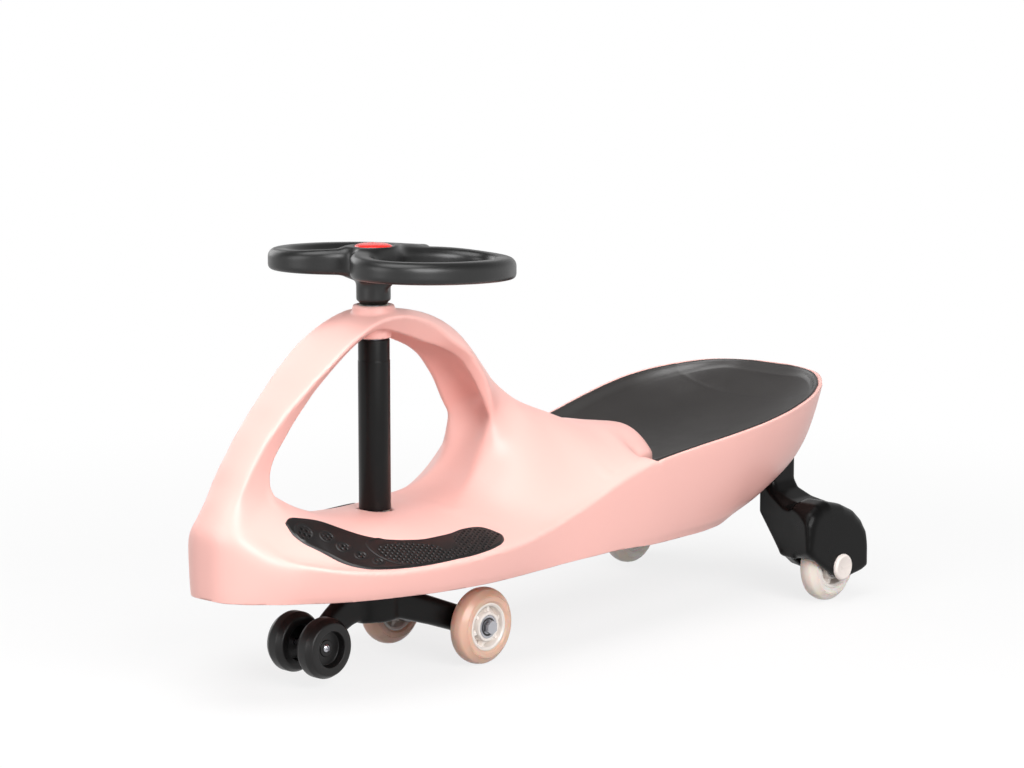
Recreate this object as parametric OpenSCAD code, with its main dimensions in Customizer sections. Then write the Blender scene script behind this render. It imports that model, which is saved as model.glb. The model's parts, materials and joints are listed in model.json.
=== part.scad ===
// Wiggle car: a swing-steered ride-on with a moulded shell, a dished seat and six wheels.
// Lengths are millimetres. The nose faces -Y, the car's left side is +X and Z is up.

/* [Shell] */
// Length of the shell from nose to tail
body_len = 808; // [500:1:1200]
// Width of the shell over the seat rim
body_w = 260; // [180:1:400]
// Height of the collar on top of the arch
body_h = 344; // [220:1:500]
// Wall of the shell
wall = 3; // [2:0.1:5]
// Thickness of the ribs inside the shell
rib_t = 3; // [2:0.1:5]
// Diameter of the collar round the column
collar_d = 39.6; // [34:0.1:60]
// Depth of the collar through the arch
collar_h = 30; // [16:0.5:60]
// Diameter of the boss under the deck
deck_boss_d = 54; // [44:0.5:80]

/* [Seat] */
// Thickness of the seat pan
seat_t = 3.2; // [2:0.1:6]
// Set-back of the seat pan from the rim's edge
seat_lip = 3.4; // [2:0.1:8]
// Gap between the seat pan and the shell
seat_gap = 0.5; // [0.3:0.05:1]
// Half-width of the tongue in front of the seat
tongue_w = 68; // [40:0.5:100]
// Drop of the tongue's surface from its middle to its side
tongue_drop = 26; // [10:0.5:40]
// Diameter of the seat screws
seat_screw_d = 5; // [3:0.1:8]

/* [Foot pads] */
// Thickness of a foot pad above the deck
pad_t = 3; // [1:0.1:6]
// Gap under a foot pad
pad_gap = 0.6; // [0.3:0.05:1]
// Diameter of a foot pad's pegs
peg_d = 5; // [3:0.1:8]

/* [Column] */
// Diameter of the steel shaft
shaft_d = 20; // [12:0.1:26]
// Diameter of the sleeve round the shaft
sleeve_d = 30; // [24:0.1:44]
// Gap between the sleeve and the arch above it
sleeve_gap = 1.5; // [0.5:0.1:4]
// Outside diameter of the column bushes
bush_d = 28; // [22:0.1:36]
// Radial running clearance
run_fit = 0.05; // [0.02:0.01:0.1]
// Axial gap between parts that turn past each other
end_gap = 0.5; // [0.3:0.05:1]
// Thickness of the thrust washer
thrust_t = 2; // [1:0.1:4]
// Thickness of the lower bush's flange
flange_t = 2.5; // [1:0.1:6]

/* [Steering wheel] */
// Rise of the rim's top above the collar
rim_rise = 48; // [36:0.1:90]
// Depth of the rim
rim_h = 20; // [14:0.1:36]
// Width of the rim
rim_w = 22; // [14:0.1:34]
// Run of each lobe past the middle
lobe_cross = 16; // [5:0.5:30]
// Set-back of the middle of the lobes behind the column
grip_back = 21.5; // [0:0.5:50]
// Width of one lobe
lobe_w = 134.5; // [80:0.5:180]
// Length of one lobe from front to back
lobe_l = 176; // [90:0.5:220]
// Fall of the rim towards the back, in degrees
rim_tilt = 2.7; // [0:0.1:12]
// Rise of the hub above the rim
hub_rise = 5; // [0:0.1:12]
// Diameter of the boss under the wheel
boss_d = 32; // [28:0.1:50]
// Diameter of the neck below the boss
neck_d = 26.4; // [22:0.1:40]
// Height of the boss above the collar
neck_h = 3.8; // [2:0.1:12]
// Diameter of the cap
cap_d = 35; // [24:0.1:50]
// Rise of the cap above the hub
cap_rise = 4.5; // [1:0.1:8]

/* [Wheels] */
// Diameter of the four main wheels
wheel_d = 74; // [50:0.5:110]
// Width of a main wheel
wheel_w = 22; // [14:0.5:40]
// Thickness of the tyre's tread
tread_t = 9; // [5:0.1:16]
// Outside diameter of a wheel bearing
bearing_d = 22; // [18:0.1:26]
// Width of a wheel bearing
bearing_w = 7; // [5:0.1:9]
// Diameter of the wheel axles
axle_d = 8; // [5:0.1:10]
// Distance of a front wheel from the middle
front_x = 60; // [40:0.5:90]
// Distance of the front axle behind the column
front_trail = 80; // [50:0.5:120]
// Distance of a rear wheel's middle outside the shell's side
rear_out = 3.4; // [-10:0.1:20]
// Diameter of the casters
caster_d = 56.5; // [36:0.5:80]
// Width of a caster
caster_w = 21; // [12:0.5:30]
// Distance of a caster from the middle
caster_x = 19.8; // [14:0.1:30]
// Distance of the casters ahead of the column
caster_lead = 86; // [60:0.5:120]
// Height of the casters above the floor
caster_lift = 10; // [2:0.5:20]
// Diameter of the casters' axle
caster_axle_d = 6; // [4:0.1:10]

/* [Fork] */
// Height of the top of the fork's hub
fork_top = 84; // [60:0.5:120]
// Depth of the fork's hub
fork_hub_h = 40; // [25:0.5:70]
// Diameter of the fork's hub
fork_hub_d = 50; // [36:0.5:70]
// Thickness of the fork's arms
arm_w = 20; // [12:0.5:30]
// Depth of the fork's arms
arm_h = 26; // [14:0.5:40]
// Diameter of the cross pin through fork and shaft
pin_d = 6; // [4:0.1:10]

/* [Rear brackets] */
// Thickness of the hood and the cheeks
hood_t = 6; // [3:0.1:10]
// Gap between the hood and the wheel
hood_gap = 5; // [2:0.1:10]
// Rise of the hood's middle above the axle
hood_lift = 9; // [0:0.5:16]
// Gap between the bracket and the shell
saddle_gap = 0.2; // [0.1:0.05:0.6]
// Gap between a wheel and the cheeks beside it
cheek_gap = 2.5; // [1:0.1:6]
// Diameter of the axle cap
axle_cap_d = 27; // [18:0.1:40]
// Thickness of the axle cap
axle_cap_t = 4; // [2:0.1:8]
// Diameter of the bracket screws
bracket_screw_d = 6; // [4:0.1:8]

/* [Hidden] */
$fn = 64;

// Run of a cut past the face it opens
over = 1;
// Place of the column along the shell, as a share of its length
column_share = 0.2624;
column_y = (column_share - 0.5) * body_len;
// Place of the rear axle along the shell, as a share of its length
rear_share = 0.90176;
rear_y = (rear_share - 0.5) * body_len;

// Stations of the shell from nose to tail: place along the length, half-width and height of the
// shoulder, half-width and height of the foot of the side, height of the middle, two roundnesses.
hull_shares = [
    [0.0000, 0.108, 0.442, 0.100, 0.294, 0.448, 2, 1.0],
    [0.0037, 0.177, 0.442, 0.162, 0.291, 0.468, 2, 1.2],
    [0.0111, 0.254, 0.442, 0.231, 0.291, 0.506, 2, 1.4],
    [0.0210, 0.315, 0.439, 0.292, 0.289, 0.541, 2, 1.8],
    [0.0347, 0.400, 0.424, 0.354, 0.288, 0.582, 2, 2.6],
    [0.0520, 0.500, 0.406, 0.438, 0.286, 0.592, 2, 3.3],
    [0.0705, 0.592, 0.390, 0.508, 0.285, 0.580, 2, 3.6],
    [0.0953, 0.692, 0.376, 0.608, 0.283, 0.542, 2, 3.2],
    [0.1324, 0.792, 0.362, 0.723, 0.282, 0.494, 2, 2.2],
    [0.1757, 0.854, 0.352, 0.792, 0.279, 0.463, 2, 1.5],
    [0.2252, 0.892, 0.349, 0.835, 0.274, 0.446, 2, 1.15],
    [0.2748, 0.912, 0.350, 0.850, 0.270, 0.436, 2, 1.0],
    [0.3243, 0.912, 0.358, 0.846, 0.267, 0.440, 2, 1.1],
    [0.3614, 0.892, 0.363, 0.838, 0.267, 0.456, 2, 1.4],
    [0.3923, 0.869, 0.374, 0.831, 0.268, 0.500, 2, 1.9],
    [0.4171, 0.846, 0.382, 0.823, 0.268, 0.581, 2, 2.2],
    [0.4356, 0.835, 0.391, 0.815, 0.269, 0.660, 2, 2.3],
    [0.4542, 0.823, 0.401, 0.811, 0.269, 0.698, 2, 2.2],
    [0.4752, 0.815, 0.413, 0.804, 0.269, 0.694, 2, 2.0],
    [0.5000, 0.808, 0.430, 0.796, 0.268, 0.668, 2, 1.8],
    [0.5272, 0.808, 0.451, 0.785, 0.268, 0.646, 2, 1.6],
    [0.5594, 0.808, 0.474, 0.769, 0.265, 0.618, 2, 1.5],
    [0.5891, 0.819, 0.494, 0.754, 0.260, 0.585, 2, 1.5],
    [0.6151, 0.831, 0.506, 0.742, 0.256, 0.465, 3, 1.0],
    [0.6460, 0.842, 0.516, 0.723, 0.254, 0.448, 3, 1.0],
    [0.6832, 0.862, 0.528, 0.700, 0.253, 0.442, 3, 1.0],
    [0.7203, 0.894, 0.540, 0.669, 0.251, 0.445, 3, 1.0],
    [0.7574, 0.952, 0.554, 0.638, 0.254, 0.453, 3, 1.0],
    [0.7946, 0.986, 0.569, 0.619, 0.279, 0.465, 3, 1.0],
    [0.8317, 0.990, 0.585, 0.622, 0.308, 0.480, 3, 1.0],
    [0.8688, 0.960, 0.601, 0.612, 0.344, 0.500, 3, 1.0],
    [0.8998, 0.900, 0.613, 0.590, 0.376, 0.523, 3, 1.0],
    [0.9307, 0.804, 0.625, 0.533, 0.404, 0.552, 3, 1.0],
    [0.9554, 0.698, 0.634, 0.460, 0.430, 0.584, 3, 1.0],
    [0.9765, 0.562, 0.642, 0.365, 0.462, 0.614, 3, 1.0],
    [0.9901, 0.402, 0.647, 0.256, 0.505, 0.632, 3, 1.0],
    [1.0000, 0.150, 0.650, 0.088, 0.600, 0.646, 3, 1.0]];
// First and last station that carry the dish under the seat
dish_rows = [23, 36];
// Places up the side of the shell and the swell of its curve
side_shares = [0, 0.3, 0.65, 1];
side_swell = 0.62;
// Places from the shoulder to the middle
top_shares = [0.97, 0.9, 0.8, 0.69, 0.57, 0.45, 0.33, 0.2, 0.1, 0];

// Rings of the arch from the nose foot over the column to the tank: outer place and height,
// inner place and height, outer and inner half-width, fall of the outer face to its edges as a share
// of the depth.
arch_shares = [
    [0.0087, 0.430, 0.0891, 0.401, 0.254, 0.238, 0.30],
    [0.0093, 0.503, 0.0842, 0.456, 0.200, 0.212, 0.16],
    [0.0179, 0.544, 0.0792, 0.500, 0.181, 0.185, 0.10],
    [0.0291, 0.578, 0.0761, 0.535, 0.169, 0.158, 0.06],
    [0.0402, 0.621, 0.0761, 0.571, 0.165, 0.138, 0.06],
    [0.0538, 0.660, 0.0817, 0.609, 0.167, 0.127, 0.05],
    [0.0675, 0.699, 0.0928, 0.647, 0.172, 0.119, 0.03],
    [0.0835, 0.734, 0.1077, 0.682, 0.182, 0.119, 0.01],
    [0.0996, 0.772, 0.1225, 0.718, 0.195, 0.123, 0.02],
    [0.1170, 0.804, 0.1374, 0.749, 0.212, 0.131, 0.00],
    [0.1343, 0.839, 0.1528, 0.781, 0.229, 0.142, 0.00],
    [0.1535, 0.872, 0.1696, 0.812, 0.246, 0.158, 0.00],
    [0.1714, 0.903, 0.1856, 0.840, 0.258, 0.173, 0.00],
    [0.1943, 0.935, 0.2048, 0.872, 0.256, 0.185, 0.00],
    [0.2191, 0.962, 0.2259, 0.898, 0.251, 0.192, 0.00],
    [0.2450, 0.980, 0.2469, 0.913, 0.255, 0.204, 0.02],
    [0.2698, 0.987, 0.2661, 0.916, 0.277, 0.227, 0.10],
    [0.2983, 0.983, 0.2896, 0.910, 0.300, 0.262, 0.34],
    [0.3280, 0.970, 0.3156, 0.895, 0.319, 0.292, 0.60],
    [0.3533, 0.950, 0.3385, 0.878, 0.323, 0.304, 0.82],
    [0.3744, 0.923, 0.3583, 0.856, 0.319, 0.292, 0.92],
    [0.3929, 0.886, 0.3731, 0.830, 0.308, 0.273, 0.94],
    [0.4103, 0.844, 0.3855, 0.792, 0.298, 0.250, 0.92],
    [0.4301, 0.796, 0.3973, 0.750, 0.288, 0.231, 0.91],
    [0.4493, 0.753, 0.4059, 0.698, 0.277, 0.215, 0.90],
    [0.4740, 0.712, 0.4103, 0.645, 0.269, 0.202, 0.88],
    [0.4988, 0.676, 0.4078, 0.599, 0.258, 0.192, 0.85],
    [0.5272, 0.648, 0.3985, 0.552, 0.242, 0.188, 0.80],
    [0.5545, 0.616, 0.3837, 0.509, 0.223, 0.208, 0.75],
    [0.5668, 0.570, 0.3639, 0.468, 0.231, 0.262, 0.70],
    [0.5668, 0.500, 0.3391, 0.436, 0.262, 0.338, 0.70]];
arch_sides = 24;
arch_square = 0.42;

// Plan of a foot pad from heel to toe: place along the length, inner and outer edge.
pad_shares = [
    [0.3465, 0.748, 0.770],
    [0.3441, 0.715, 0.800],
    [0.3391, 0.664, 0.824],
    [0.3267, 0.618, 0.860],
    [0.3045, 0.604, 0.880],
    [0.2772, 0.622, 0.884],
    [0.2438, 0.615, 0.872],
    [0.2178, 0.574, 0.857],
    [0.1955, 0.518, 0.838],
    [0.1770, 0.446, 0.814],
    [0.1597, 0.348, 0.785],
    [0.1399, 0.254, 0.744],
    [0.1287, 0.235, 0.692],
    [0.1188, 0.231, 0.612],
    [0.1089, 0.231, 0.490],
    [0.1002, 0.235, 0.412],
    [0.0928, 0.242, 0.362],
    [0.0846, 0.262, 0.306]];
pad_across_shares = [0, 0.08, 0.25, 0.5, 0.75, 0.92, 1];
// Places of the three pegs of a pad: row of its plan
peg_rows = [4, 8, 12];

// Plan of the tongue from the tank to its tip, and the height of its ridge
tongue_tip_share = 0.6857;
tongue_bend_share = 0.6213;
tongue_ridge_shares = [
    [0.5400, 0.610],
    [0.5594, 0.610],
    [0.5750, 0.607],
    [0.5891, 0.599],
    [0.6213, 0.582],
    [0.6500, 0.569],
    [0.6857, 0.557]];
tongue_steps_share = [0.5500, 0.5594, 0.5750, 0.5891, 0.6000, 0.6100, 0.6213, 0.6350, 0.6480, 0.6590,
    0.6690, 0.6765, 0.6815, 0.6845];
tongue_flare = 9;

half_w = body_w / 2;
shaft_r = shaft_d / 2;
sleeve_r = sleeve_d / 2;
bush_r = bush_d / 2;
wheel_r = wheel_d / 2;
axle_r = axle_d / 2;
hub_r = wheel_r - tread_t;
hub_w = wheel_w * 0.9;
bearing_r = bearing_d / 2;
front_y = column_y + front_trail;
rear_x = half_w + rear_out;
caster_y = column_y - caster_lead;
caster_r = caster_d / 2;
caster_z = caster_r + caster_lift;
caster_axle_r = caster_axle_d / 2;
rim_top = body_h + rim_rise;
rim_mid = rim_top - rim_h / 2;
boss_z = body_h + neck_h;
arch_under = body_h - collar_h;
lobe_x = lobe_w / 2 - lobe_cross;
grip_x = lobe_w - lobe_cross;
fork_hub_r = fork_hub_d / 2;
fork_foot = fork_top - fork_hub_h;
flange_z = fork_top + thrust_t + end_gap;
flange_r = bush_r * 1.4;
deck_boss_z = flange_z + flange_t;
deck_z = hull_shares[11][5] * body_h;

function along(s) = (s - 0.5) * body_len;
function wide(s) = s * half_w;
function high(s) = s * body_h;
function mix(a, b, t) = a + (b - a) * t;
function signed_pow(v, p) = sign(v) * pow(abs(v), p);
function rounded(t, p) = pow(max(0, 1 - pow(t, p)), 1 / p);

// Height of the shell's top over a station, at a share t of its half-width
function crown(r, t) = high(mix(r[2], r[5], pow(1 - pow(min(1, abs(t)), r[6]), r[7])));
// Drop that makes room for the seat pan
function dish_drop(i) = i >= dish_rows[0] && i <= dish_rows[1] ? seat_t + seat_gap : 0;

// Half of a section of the shell, set in by d, from the foot of the side to the middle
function half_section(i, d, foot_drop) = let (r = hull_shares[i], y = along(r[0]), drop = dish_drop(i),
    ws = wide(r[1]) - d, wb = wide(r[3]) - d, zb = high(r[4]) - foot_drop, zs = high(r[2]) - d,
    edge = drop > 0 ? ws - seat_lip + seat_gap : ws)
    concat([for (s = side_shares) [mix(wb, ws, pow(s, side_swell)), y, mix(zb, zs, s)]],
        [for (t = top_shares) [edge * t, y, crown(r, t) - d - drop]]);

function mirrored(p) = [-p[0], p[1], p[2]];
function full_section(half) = let (n = len(half))
    concat([for (p = half) mirrored(p)], [for (k = [n - 2:-1:0]) half[k]]);

// The two triangles of one patch between rings a and b, cut alike on both sides of the car
function patch(a, b, j, k, outwards) = outwards
    ? [[a + j, b + j, a + k], [a + k, b + j, b + k]]
    : [[a + j, b + k, a + k], [a + j, b + j, b + k]];

// A solid through a row of rings that all have the same number of points
module loft(rings) {
    n = len(rings[0]);
    m = len(rings);
    points = [for (ring = rings) for (p = ring) p];
    sides = [for (i = [0:m - 2]) for (j = [0:n - 1]) let (k = (j + 1) % n)
        each patch(i * n, (i + 1) * n, j, k, abs(rings[i][j][0]) < abs(rings[i][k][0]))];
    caps = [[for (j = [0:n - 1]) j], [for (j = [n - 1:-1:0]) (m - 1) * n + j]];
    polyhedron(points, concat(sides, caps), convexity = 10);
}

// A solid ring through a closed row of rings
module ring_loft(rings) {
    n = len(rings[0]);
    m = len(rings);
    points = [for (ring = rings) for (p = ring) p];
    sides = [for (i = [0:m - 1]) for (j = [0:n - 1]) let (k = (j + 1) % n, h = (i + 1) % m)
        each [[i * n + j, h * n + k, i * n + k], [i * n + j, h * n + j, h * n + k]]];
    polyhedron(points, sides, convexity = 10);
}

module shell_solid(first, last, d, foot_drop) {
    loft([for (i = [first:last]) full_section(half_section(i, d, foot_drop))]);
}

// One ring of the arch, set in by d
function arch_ring(r, d) = let (o = [along(r[0]), high(r[1])], q = [along(r[2]), high(r[3])],
    span = norm(o - q), dir = (o - q) / span)
    [for (k = [0:arch_sides - 1]) let (a = 360 * k / arch_sides,
        u = 0.5 + 0.5 * signed_pow(cos(a), arch_square), t = signed_pow(sin(a), arch_square),
        c = q + dir * (mix(d, span - d, u) - r[6] * (span - 2 * d) * u * t * t),
        w = mix(wide(r[5]), wide(r[4]), u) - d * (1 + r[6]))
        [w * t, c[0], c[1]]];

module arch_solid(d) {
    loft([for (r = arch_shares) arch_ring(r, d)]);
}

// Half-width of the tongue at a place along the shell: a flare, then a rounded tip
function tongue_flared(back) = tongue_w + pow(back, 2) / (2 * tongue_flare);
function tongue_tipped(t) = tongue_w * rounded(t, 3.2);
function tongue_half(s) = s < tongue_bend_share ? tongue_flared(along(tongue_bend_share) - along(s))
    : tongue_tipped((s - tongue_bend_share) / (tongue_tip_share - tongue_bend_share));
tongue_max = half_w * 0.72;

// One section of the tongue, grown by g
function tongue_ring(s, g) = let (w = min(tongue_max, tongue_half(s)) + g, y = along(s),
    zc = high(lookup(s, tongue_ridge_shares)), foot = high(0.42))
    concat([[-w, y, foot]],
        [for (t = [-1:0.25:1]) [w * t, y, zc - tongue_drop * pow(abs(w * t) / tongue_w, 3)]],
        [[w, y, foot]]);

module tongue_solid() {
    loft([for (s = tongue_steps_share) tongue_ring(s, 0)]);
}

// Room for the tongue through the seat pan
module tongue_room() {
    tip = along(tongue_tip_share) + seat_gap;
    pts = [for (s = tongue_steps_share) [min(tongue_max, tongue_half(s)) + seat_gap, along(s)]];
    translate([0, 0, high(0.4)])
        linear_extrude(high(0.3))
            polygon(concat(pts, [[0, tip]], [for (i = [len(pts) - 1:-1:0]) [-pts[i][0], pts[i][1]]]));
}

seat_screw_x = half_w * 0.2;
seat_screw_front = along(0.7);
seat_screw_back = along(0.87);
seat_boss_r = seat_screw_d * 1.2;
seat_boss_front = high(0.405);
seat_boss_back = high(0.458);
seat_boss_up = high(0.03);
seat_head_r = seat_screw_d * 1.1;
seat_head_h = seat_screw_d * 0.7;
seat_screw_up = high(0.028);

module seat_screw_places(y) {
    for (x = [-1, 1])
        translate([x * seat_screw_x, y, 0])
            children();
}

// Height of the deck at x over one station, and between stations
function row_height(i, x) = let (r = hull_shares[i])
    lookup(abs(x) / wide(r[1]), concat([[1, high(r[2])]], [for (t = top_shares) [t, crown(r, t)]]));
function station_below(s) = max([for (i = [0:len(hull_shares) - 2]) if (hull_shares[i][0] <= s) i]);
function deck_height(x, s) = let (i = station_below(s), a = hull_shares[i][0], b = hull_shares[i + 1][0])
    mix(row_height(i, x), row_height(i + 1, x), (s - a) / (b - a));

function pad_x(r, t) = mix(wide(r[1]), wide(r[2]), t);
function pad_ring(r) = let (last = len(pad_across_shares) - 1) concat(
    [for (k = [0:last]) let (x = pad_x(r, pad_across_shares[k]), rim = k == 0 || k == last ? pad_t / 3 : 0)
        [x, along(r[0]), deck_height(x, r[0]) + pad_gap + pad_t - rim]],
    [for (k = [last:-1:0]) let (x = pad_x(r, pad_across_shares[k]))
        [x, along(r[0]), deck_height(x, r[0]) + pad_gap]]);
peg_len = high(0.024);

module peg_places() {
    for (k = peg_rows) {
        r = pad_shares[k];
        x = pad_x(r, 0.5);
        translate([x, along(r[0]), deck_height(x, r[0]) + pad_gap + pad_t / 2 - peg_len])
            children();
    }
}

// Middle of the screwed joint between the shell and a rear bracket
joint_y = along(0.842);
joint_z = high(0.395);
joint_l = body_len * 0.062;
joint_h = high(0.085);
joint_face = half_w * 0.56;
joint_end = half_w * 0.84;
bracket_screw_r = bracket_screw_d / 2;
bracket_head_r = bracket_screw_d * 0.9;
bracket_head_h = bracket_screw_d * 0.6;

module bracket_screw_places() {
    for (k = [-1, 1])
        translate([joint_face, joint_y + k * joint_l * 0.28, joint_z])
            rotate([0, 90, 0])
                children();
}

// Places of the cross ribs along the shell
rib_places_share = [0.155, 0.40, 0.53, 0.66];
rib_h = high(0.095);

// Ribs and bosses that stay inside the shell
module inner_frame() {
    for (s = rib_places_share)
        translate([-half_w, along(s), high(0.305)])
            cube([body_w, rib_t, rib_h]);
    translate([0, column_y, deck_boss_z])
        cylinder(d = deck_boss_d, h = high(0.3));
    translate([0, column_y, arch_under - wall])
        cylinder(d = collar_d, h = high(0.2));
    for (m = [0, 1])
        mirror([m, 0, 0])
            translate([joint_face, joint_y - joint_l / 2, joint_z - joint_h / 2])
                cube([half_w, joint_l, joint_h]);
}

// The moulded shell with its ribs, to its full length
module moulding() {
    resize([0, body_len, 0])
        difference() {
            union() {
                shell_solid(0, len(hull_shares) - 1, 0, 0);
                arch_solid(0);
                tongue_solid();
                translate([0, column_y, arch_under])
                    cylinder(d = collar_d, h = body_h - arch_under);
            }
            difference() {
                union() {
                    shell_solid(1, len(hull_shares) - 2, wall, over);
                    arch_solid(wall);
                }
                inner_frame();
            }
        }
}

module body_shell() {
    color("pink")
        difference() {
            moulding();
            translate([0, column_y, deck_boss_z - over])
                cylinder(d = bush_d, h = body_h);
            seat_screw_places(seat_screw_front)
                translate([0, 0, seat_boss_front])
                    cylinder(r = seat_boss_r, h = high(0.1));
            seat_screw_places(seat_screw_back)
                translate([0, 0, seat_boss_back])
                    cylinder(r = seat_boss_r, h = high(0.1));
            for (m = [0, 1])
                mirror([m, 0, 0]) {
                    peg_places()
                        cylinder(d = peg_d, h = peg_len + pad_t);
                    bracket_screw_places()
                        translate([0, 0, -over])
                            cylinder(r = bracket_screw_r, h = half_w);
                }
        }
}

// One section of the seat pan, over the shell's own section
function pan_ring(i) = let (r = hull_shares[i], y = along(r[0]), w = wide(r[1]) - seat_lip,
    ts = concat([1], top_shares), n = len(ts))
    concat([for (t = ts) [-w * t, y, crown(r, t)]],
        [for (k = [n - 2:-1:0]) [w * ts[k], y, crown(r, ts[k])]],
        [for (t = ts) [w * t, y, crown(r, t) - seat_t]],
        [for (k = [n - 2:-1:0]) [-w * ts[k], y, crown(r, ts[k]) - seat_t]]);

module seat_pan() {
    color("dimgray")
        difference() {
            union() {
                difference() {
                    loft([for (i = [dish_rows[0]:dish_rows[1]]) pan_ring(i)]);
                    tongue_room();
                }
                seat_screw_places(seat_screw_front)
                    translate([0, 0, seat_boss_front])
                        cylinder(r = seat_boss_r, h = seat_boss_up + seat_t);
                seat_screw_places(seat_screw_back)
                    translate([0, 0, seat_boss_back])
                        cylinder(r = seat_boss_r, h = seat_boss_up + seat_t);
            }
            seat_screw_places(seat_screw_front)
                translate([0, 0, seat_boss_front - over])
                    cylinder(d = seat_screw_d, h = seat_screw_up + over);
            seat_screw_places(seat_screw_back)
                translate([0, 0, seat_boss_back - over])
                    cylinder(d = seat_screw_d, h = seat_screw_up + over);
        }
}

module seat_screw(z) {
    translate([0, 0, z])
        cylinder(d = seat_screw_d, h = seat_screw_up);
    translate([0, 0, z - seat_head_h])
        cylinder(r = seat_head_r, h = seat_head_h);
}

module seat_screws() {
    color("silver") {
        seat_screw_places(seat_screw_front)
            seat_screw(seat_boss_front);
        seat_screw_places(seat_screw_back)
            seat_screw(seat_boss_back);
    }
}

pad_len = along(pad_shares[0][0]) - along(pad_shares[len(pad_shares) - 1][0]);

// A foot pad to its full length, with its pegs
module foot_pad() {
    color("dimgray") {
        resize([0, pad_len, 0])
            loft([for (k = [len(pad_shares) - 1:-1:0]) pad_ring(pad_shares[k])]);
        peg_places()
            cylinder(d = peg_d, h = peg_len);
    }
}

module foot_pad_left() {
    foot_pad();
}

module foot_pad_right() {
    mirror([1, 0, 0])
        foot_pad();
}

// A plain bush from z to top on the column
module bush(z, top) {
    translate([0, column_y, z])
        difference() {
            cylinder(r = bush_r, h = top - z);
            translate([0, 0, -over])
                cylinder(r = shaft_r + run_fit, h = top - z + 2 * over);
        }
}

module upper_bush() {
    color("ivory")
        bush(arch_under, body_h);
}

module lower_bush() {
    color("ivory") {
        bush(deck_boss_z, deck_z);
        translate([0, column_y, flange_z])
            difference() {
                cylinder(r = flange_r, h = deck_boss_z - flange_z);
                translate([0, 0, -over])
                    cylinder(r = shaft_r + run_fit, h = deck_boss_z - flange_z + 2 * over);
            }
    }
}

hood_r = wheel_r + hood_gap;
hood_out = hood_r + hood_lift;
cheek_in = rear_x - wheel_w / 2 - cheek_gap;
cheek_out = rear_x + wheel_w / 2 + cheek_gap;
bracket_in = cheek_in - hood_t;
bracket_out = cheek_out + hood_t;
// Ends of the hood round the wheel, from the back over the top to the front
hood_from = -10;
hood_turn = 158;
hood_steps = 24;
axle_boss_r = axle_cap_d * 0.58;

// Turns what is drawn in the plane across the car, Y to the right and Z up, from x = a to x = b
module across(a, b) {
    translate([a, 0, 0])
        rotate([90, 0, 90])
            linear_extrude(b - a)
                children();
}

module hood_sector(r) {
    turns = [for (k = [0:hood_steps]) hood_from + hood_turn * k / hood_steps];
    polygon(concat([[0, 0]], [for (a = turns) [r * cos(a), r * sin(a)]]));
}

module cheek() {
    translate([rear_y, wheel_r]) {
        translate([0, hood_lift])
            hood_sector(hood_out);
        circle(axle_boss_r);
    }
}

// Side of a bracket's leg: place along the shell and height
leg_side_shares = [
    [0.802, 0.470], [0.802, 0.302], [0.806, 0.262], [0.825, 0.206], [0.840, 0.160], [0.856, 0.145],
    [0.884, 0.093], [0.901, 0.067], [0.931, 0.073], [0.955, 0.122], [0.960, 0.180], [0.945, 0.235],
    [0.912, 0.282], [0.887, 0.314], [0.877, 0.363], [0.875, 0.470]];
// Front of a bracket's leg: half-width and height
leg_front_shares = [
    [0.800, 0.055], [0.920, 0.055], [0.920, 0.160], [0.985, 0.240], [0.985, 0.290], [0.905, 0.350],
    [0.838, 0.455], [0.600, 0.455], [0.600, 0.311], [0.700, 0.276], [0.800, 0.218]];

// First and last station of the shell that a bracket's saddle meets
saddle_rows = [26, 34];
leg_in = wide(leg_front_shares[7][0]);
leg_face = wide(leg_front_shares[0][0]);

module bracket_leg() {
    intersection() {
        across(leg_in, bracket_out)
            polygon([for (p = leg_side_shares) [along(p[0]), high(p[1])]]);
        translate([0, half_w + rear_y, 0])
            rotate([90, 0, 0])
                linear_extrude(body_w)
                    polygon([for (p = leg_front_shares) [wide(p[0]), high(p[1])]]);
    }
}

// The moulded bracket, to its full width
module bracket_moulding() {
    resize([bracket_out - leg_in, 0, 0])
        difference() {
            union() {
                across(bracket_in, bracket_out)
                    cheek();
                bracket_leg();
            }
            shell_solid(saddle_rows[0], saddle_rows[1], -saddle_gap, 0);
            translate([cheek_in, rear_y, wheel_r])
                rotate([0, 90, 0])
                    cylinder(r = hood_r, h = cheek_out - cheek_in);
        }
}

module rear_bracket() {
    color("dimgray")
        difference() {
            bracket_moulding();
            translate([leg_face - over, rear_y, wheel_r])
                rotate([0, 90, 0])
                    cylinder(r = axle_r, h = bracket_out - leg_face + 2 * over);
            bracket_screw_places()
                cylinder(r = bracket_screw_r, h = joint_end - joint_face);
        }
}

module rear_bracket_left() {
    rear_bracket();
}

module rear_bracket_right() {
    mirror([1, 0, 0])
        rear_bracket();
}

module bracket_screws() {
    color("silver")
        for (m = [0, 1])
            mirror([m, 0, 0])
                bracket_screw_places() {
                    cylinder(r = bracket_screw_r, h = joint_end - joint_face);
                    translate([0, 0, -bracket_head_h])
                        cylinder(r = bracket_head_r, h = bracket_head_h);
                }
}

axle_head_h = axle_d * 0.6;

module rear_axle() {
    color("silver")
        translate([leg_face, rear_y, wheel_r])
            rotate([0, 90, 0]) {
                cylinder(r = axle_r, h = bracket_out - leg_face);
                translate([0, 0, -axle_head_h])
                    cylinder(r = axle_r * 1.7, h = axle_head_h);
            }
}

module rear_axle_left() {
    rear_axle();
}

module rear_axle_right() {
    mirror([1, 0, 0])
        rear_axle();
}

// Half of a round cap: its flat top ends at a share of the radius, its side at a share of the rise
function dome(r, rise, top_share, side_share) = concat([[0, 0], [r, 0]],
    [for (a = [0:15:90]) [mix(r * top_share, r, cos(a)), mix(rise * side_share, rise, sin(a))]],
    [[0, rise]]);

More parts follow.
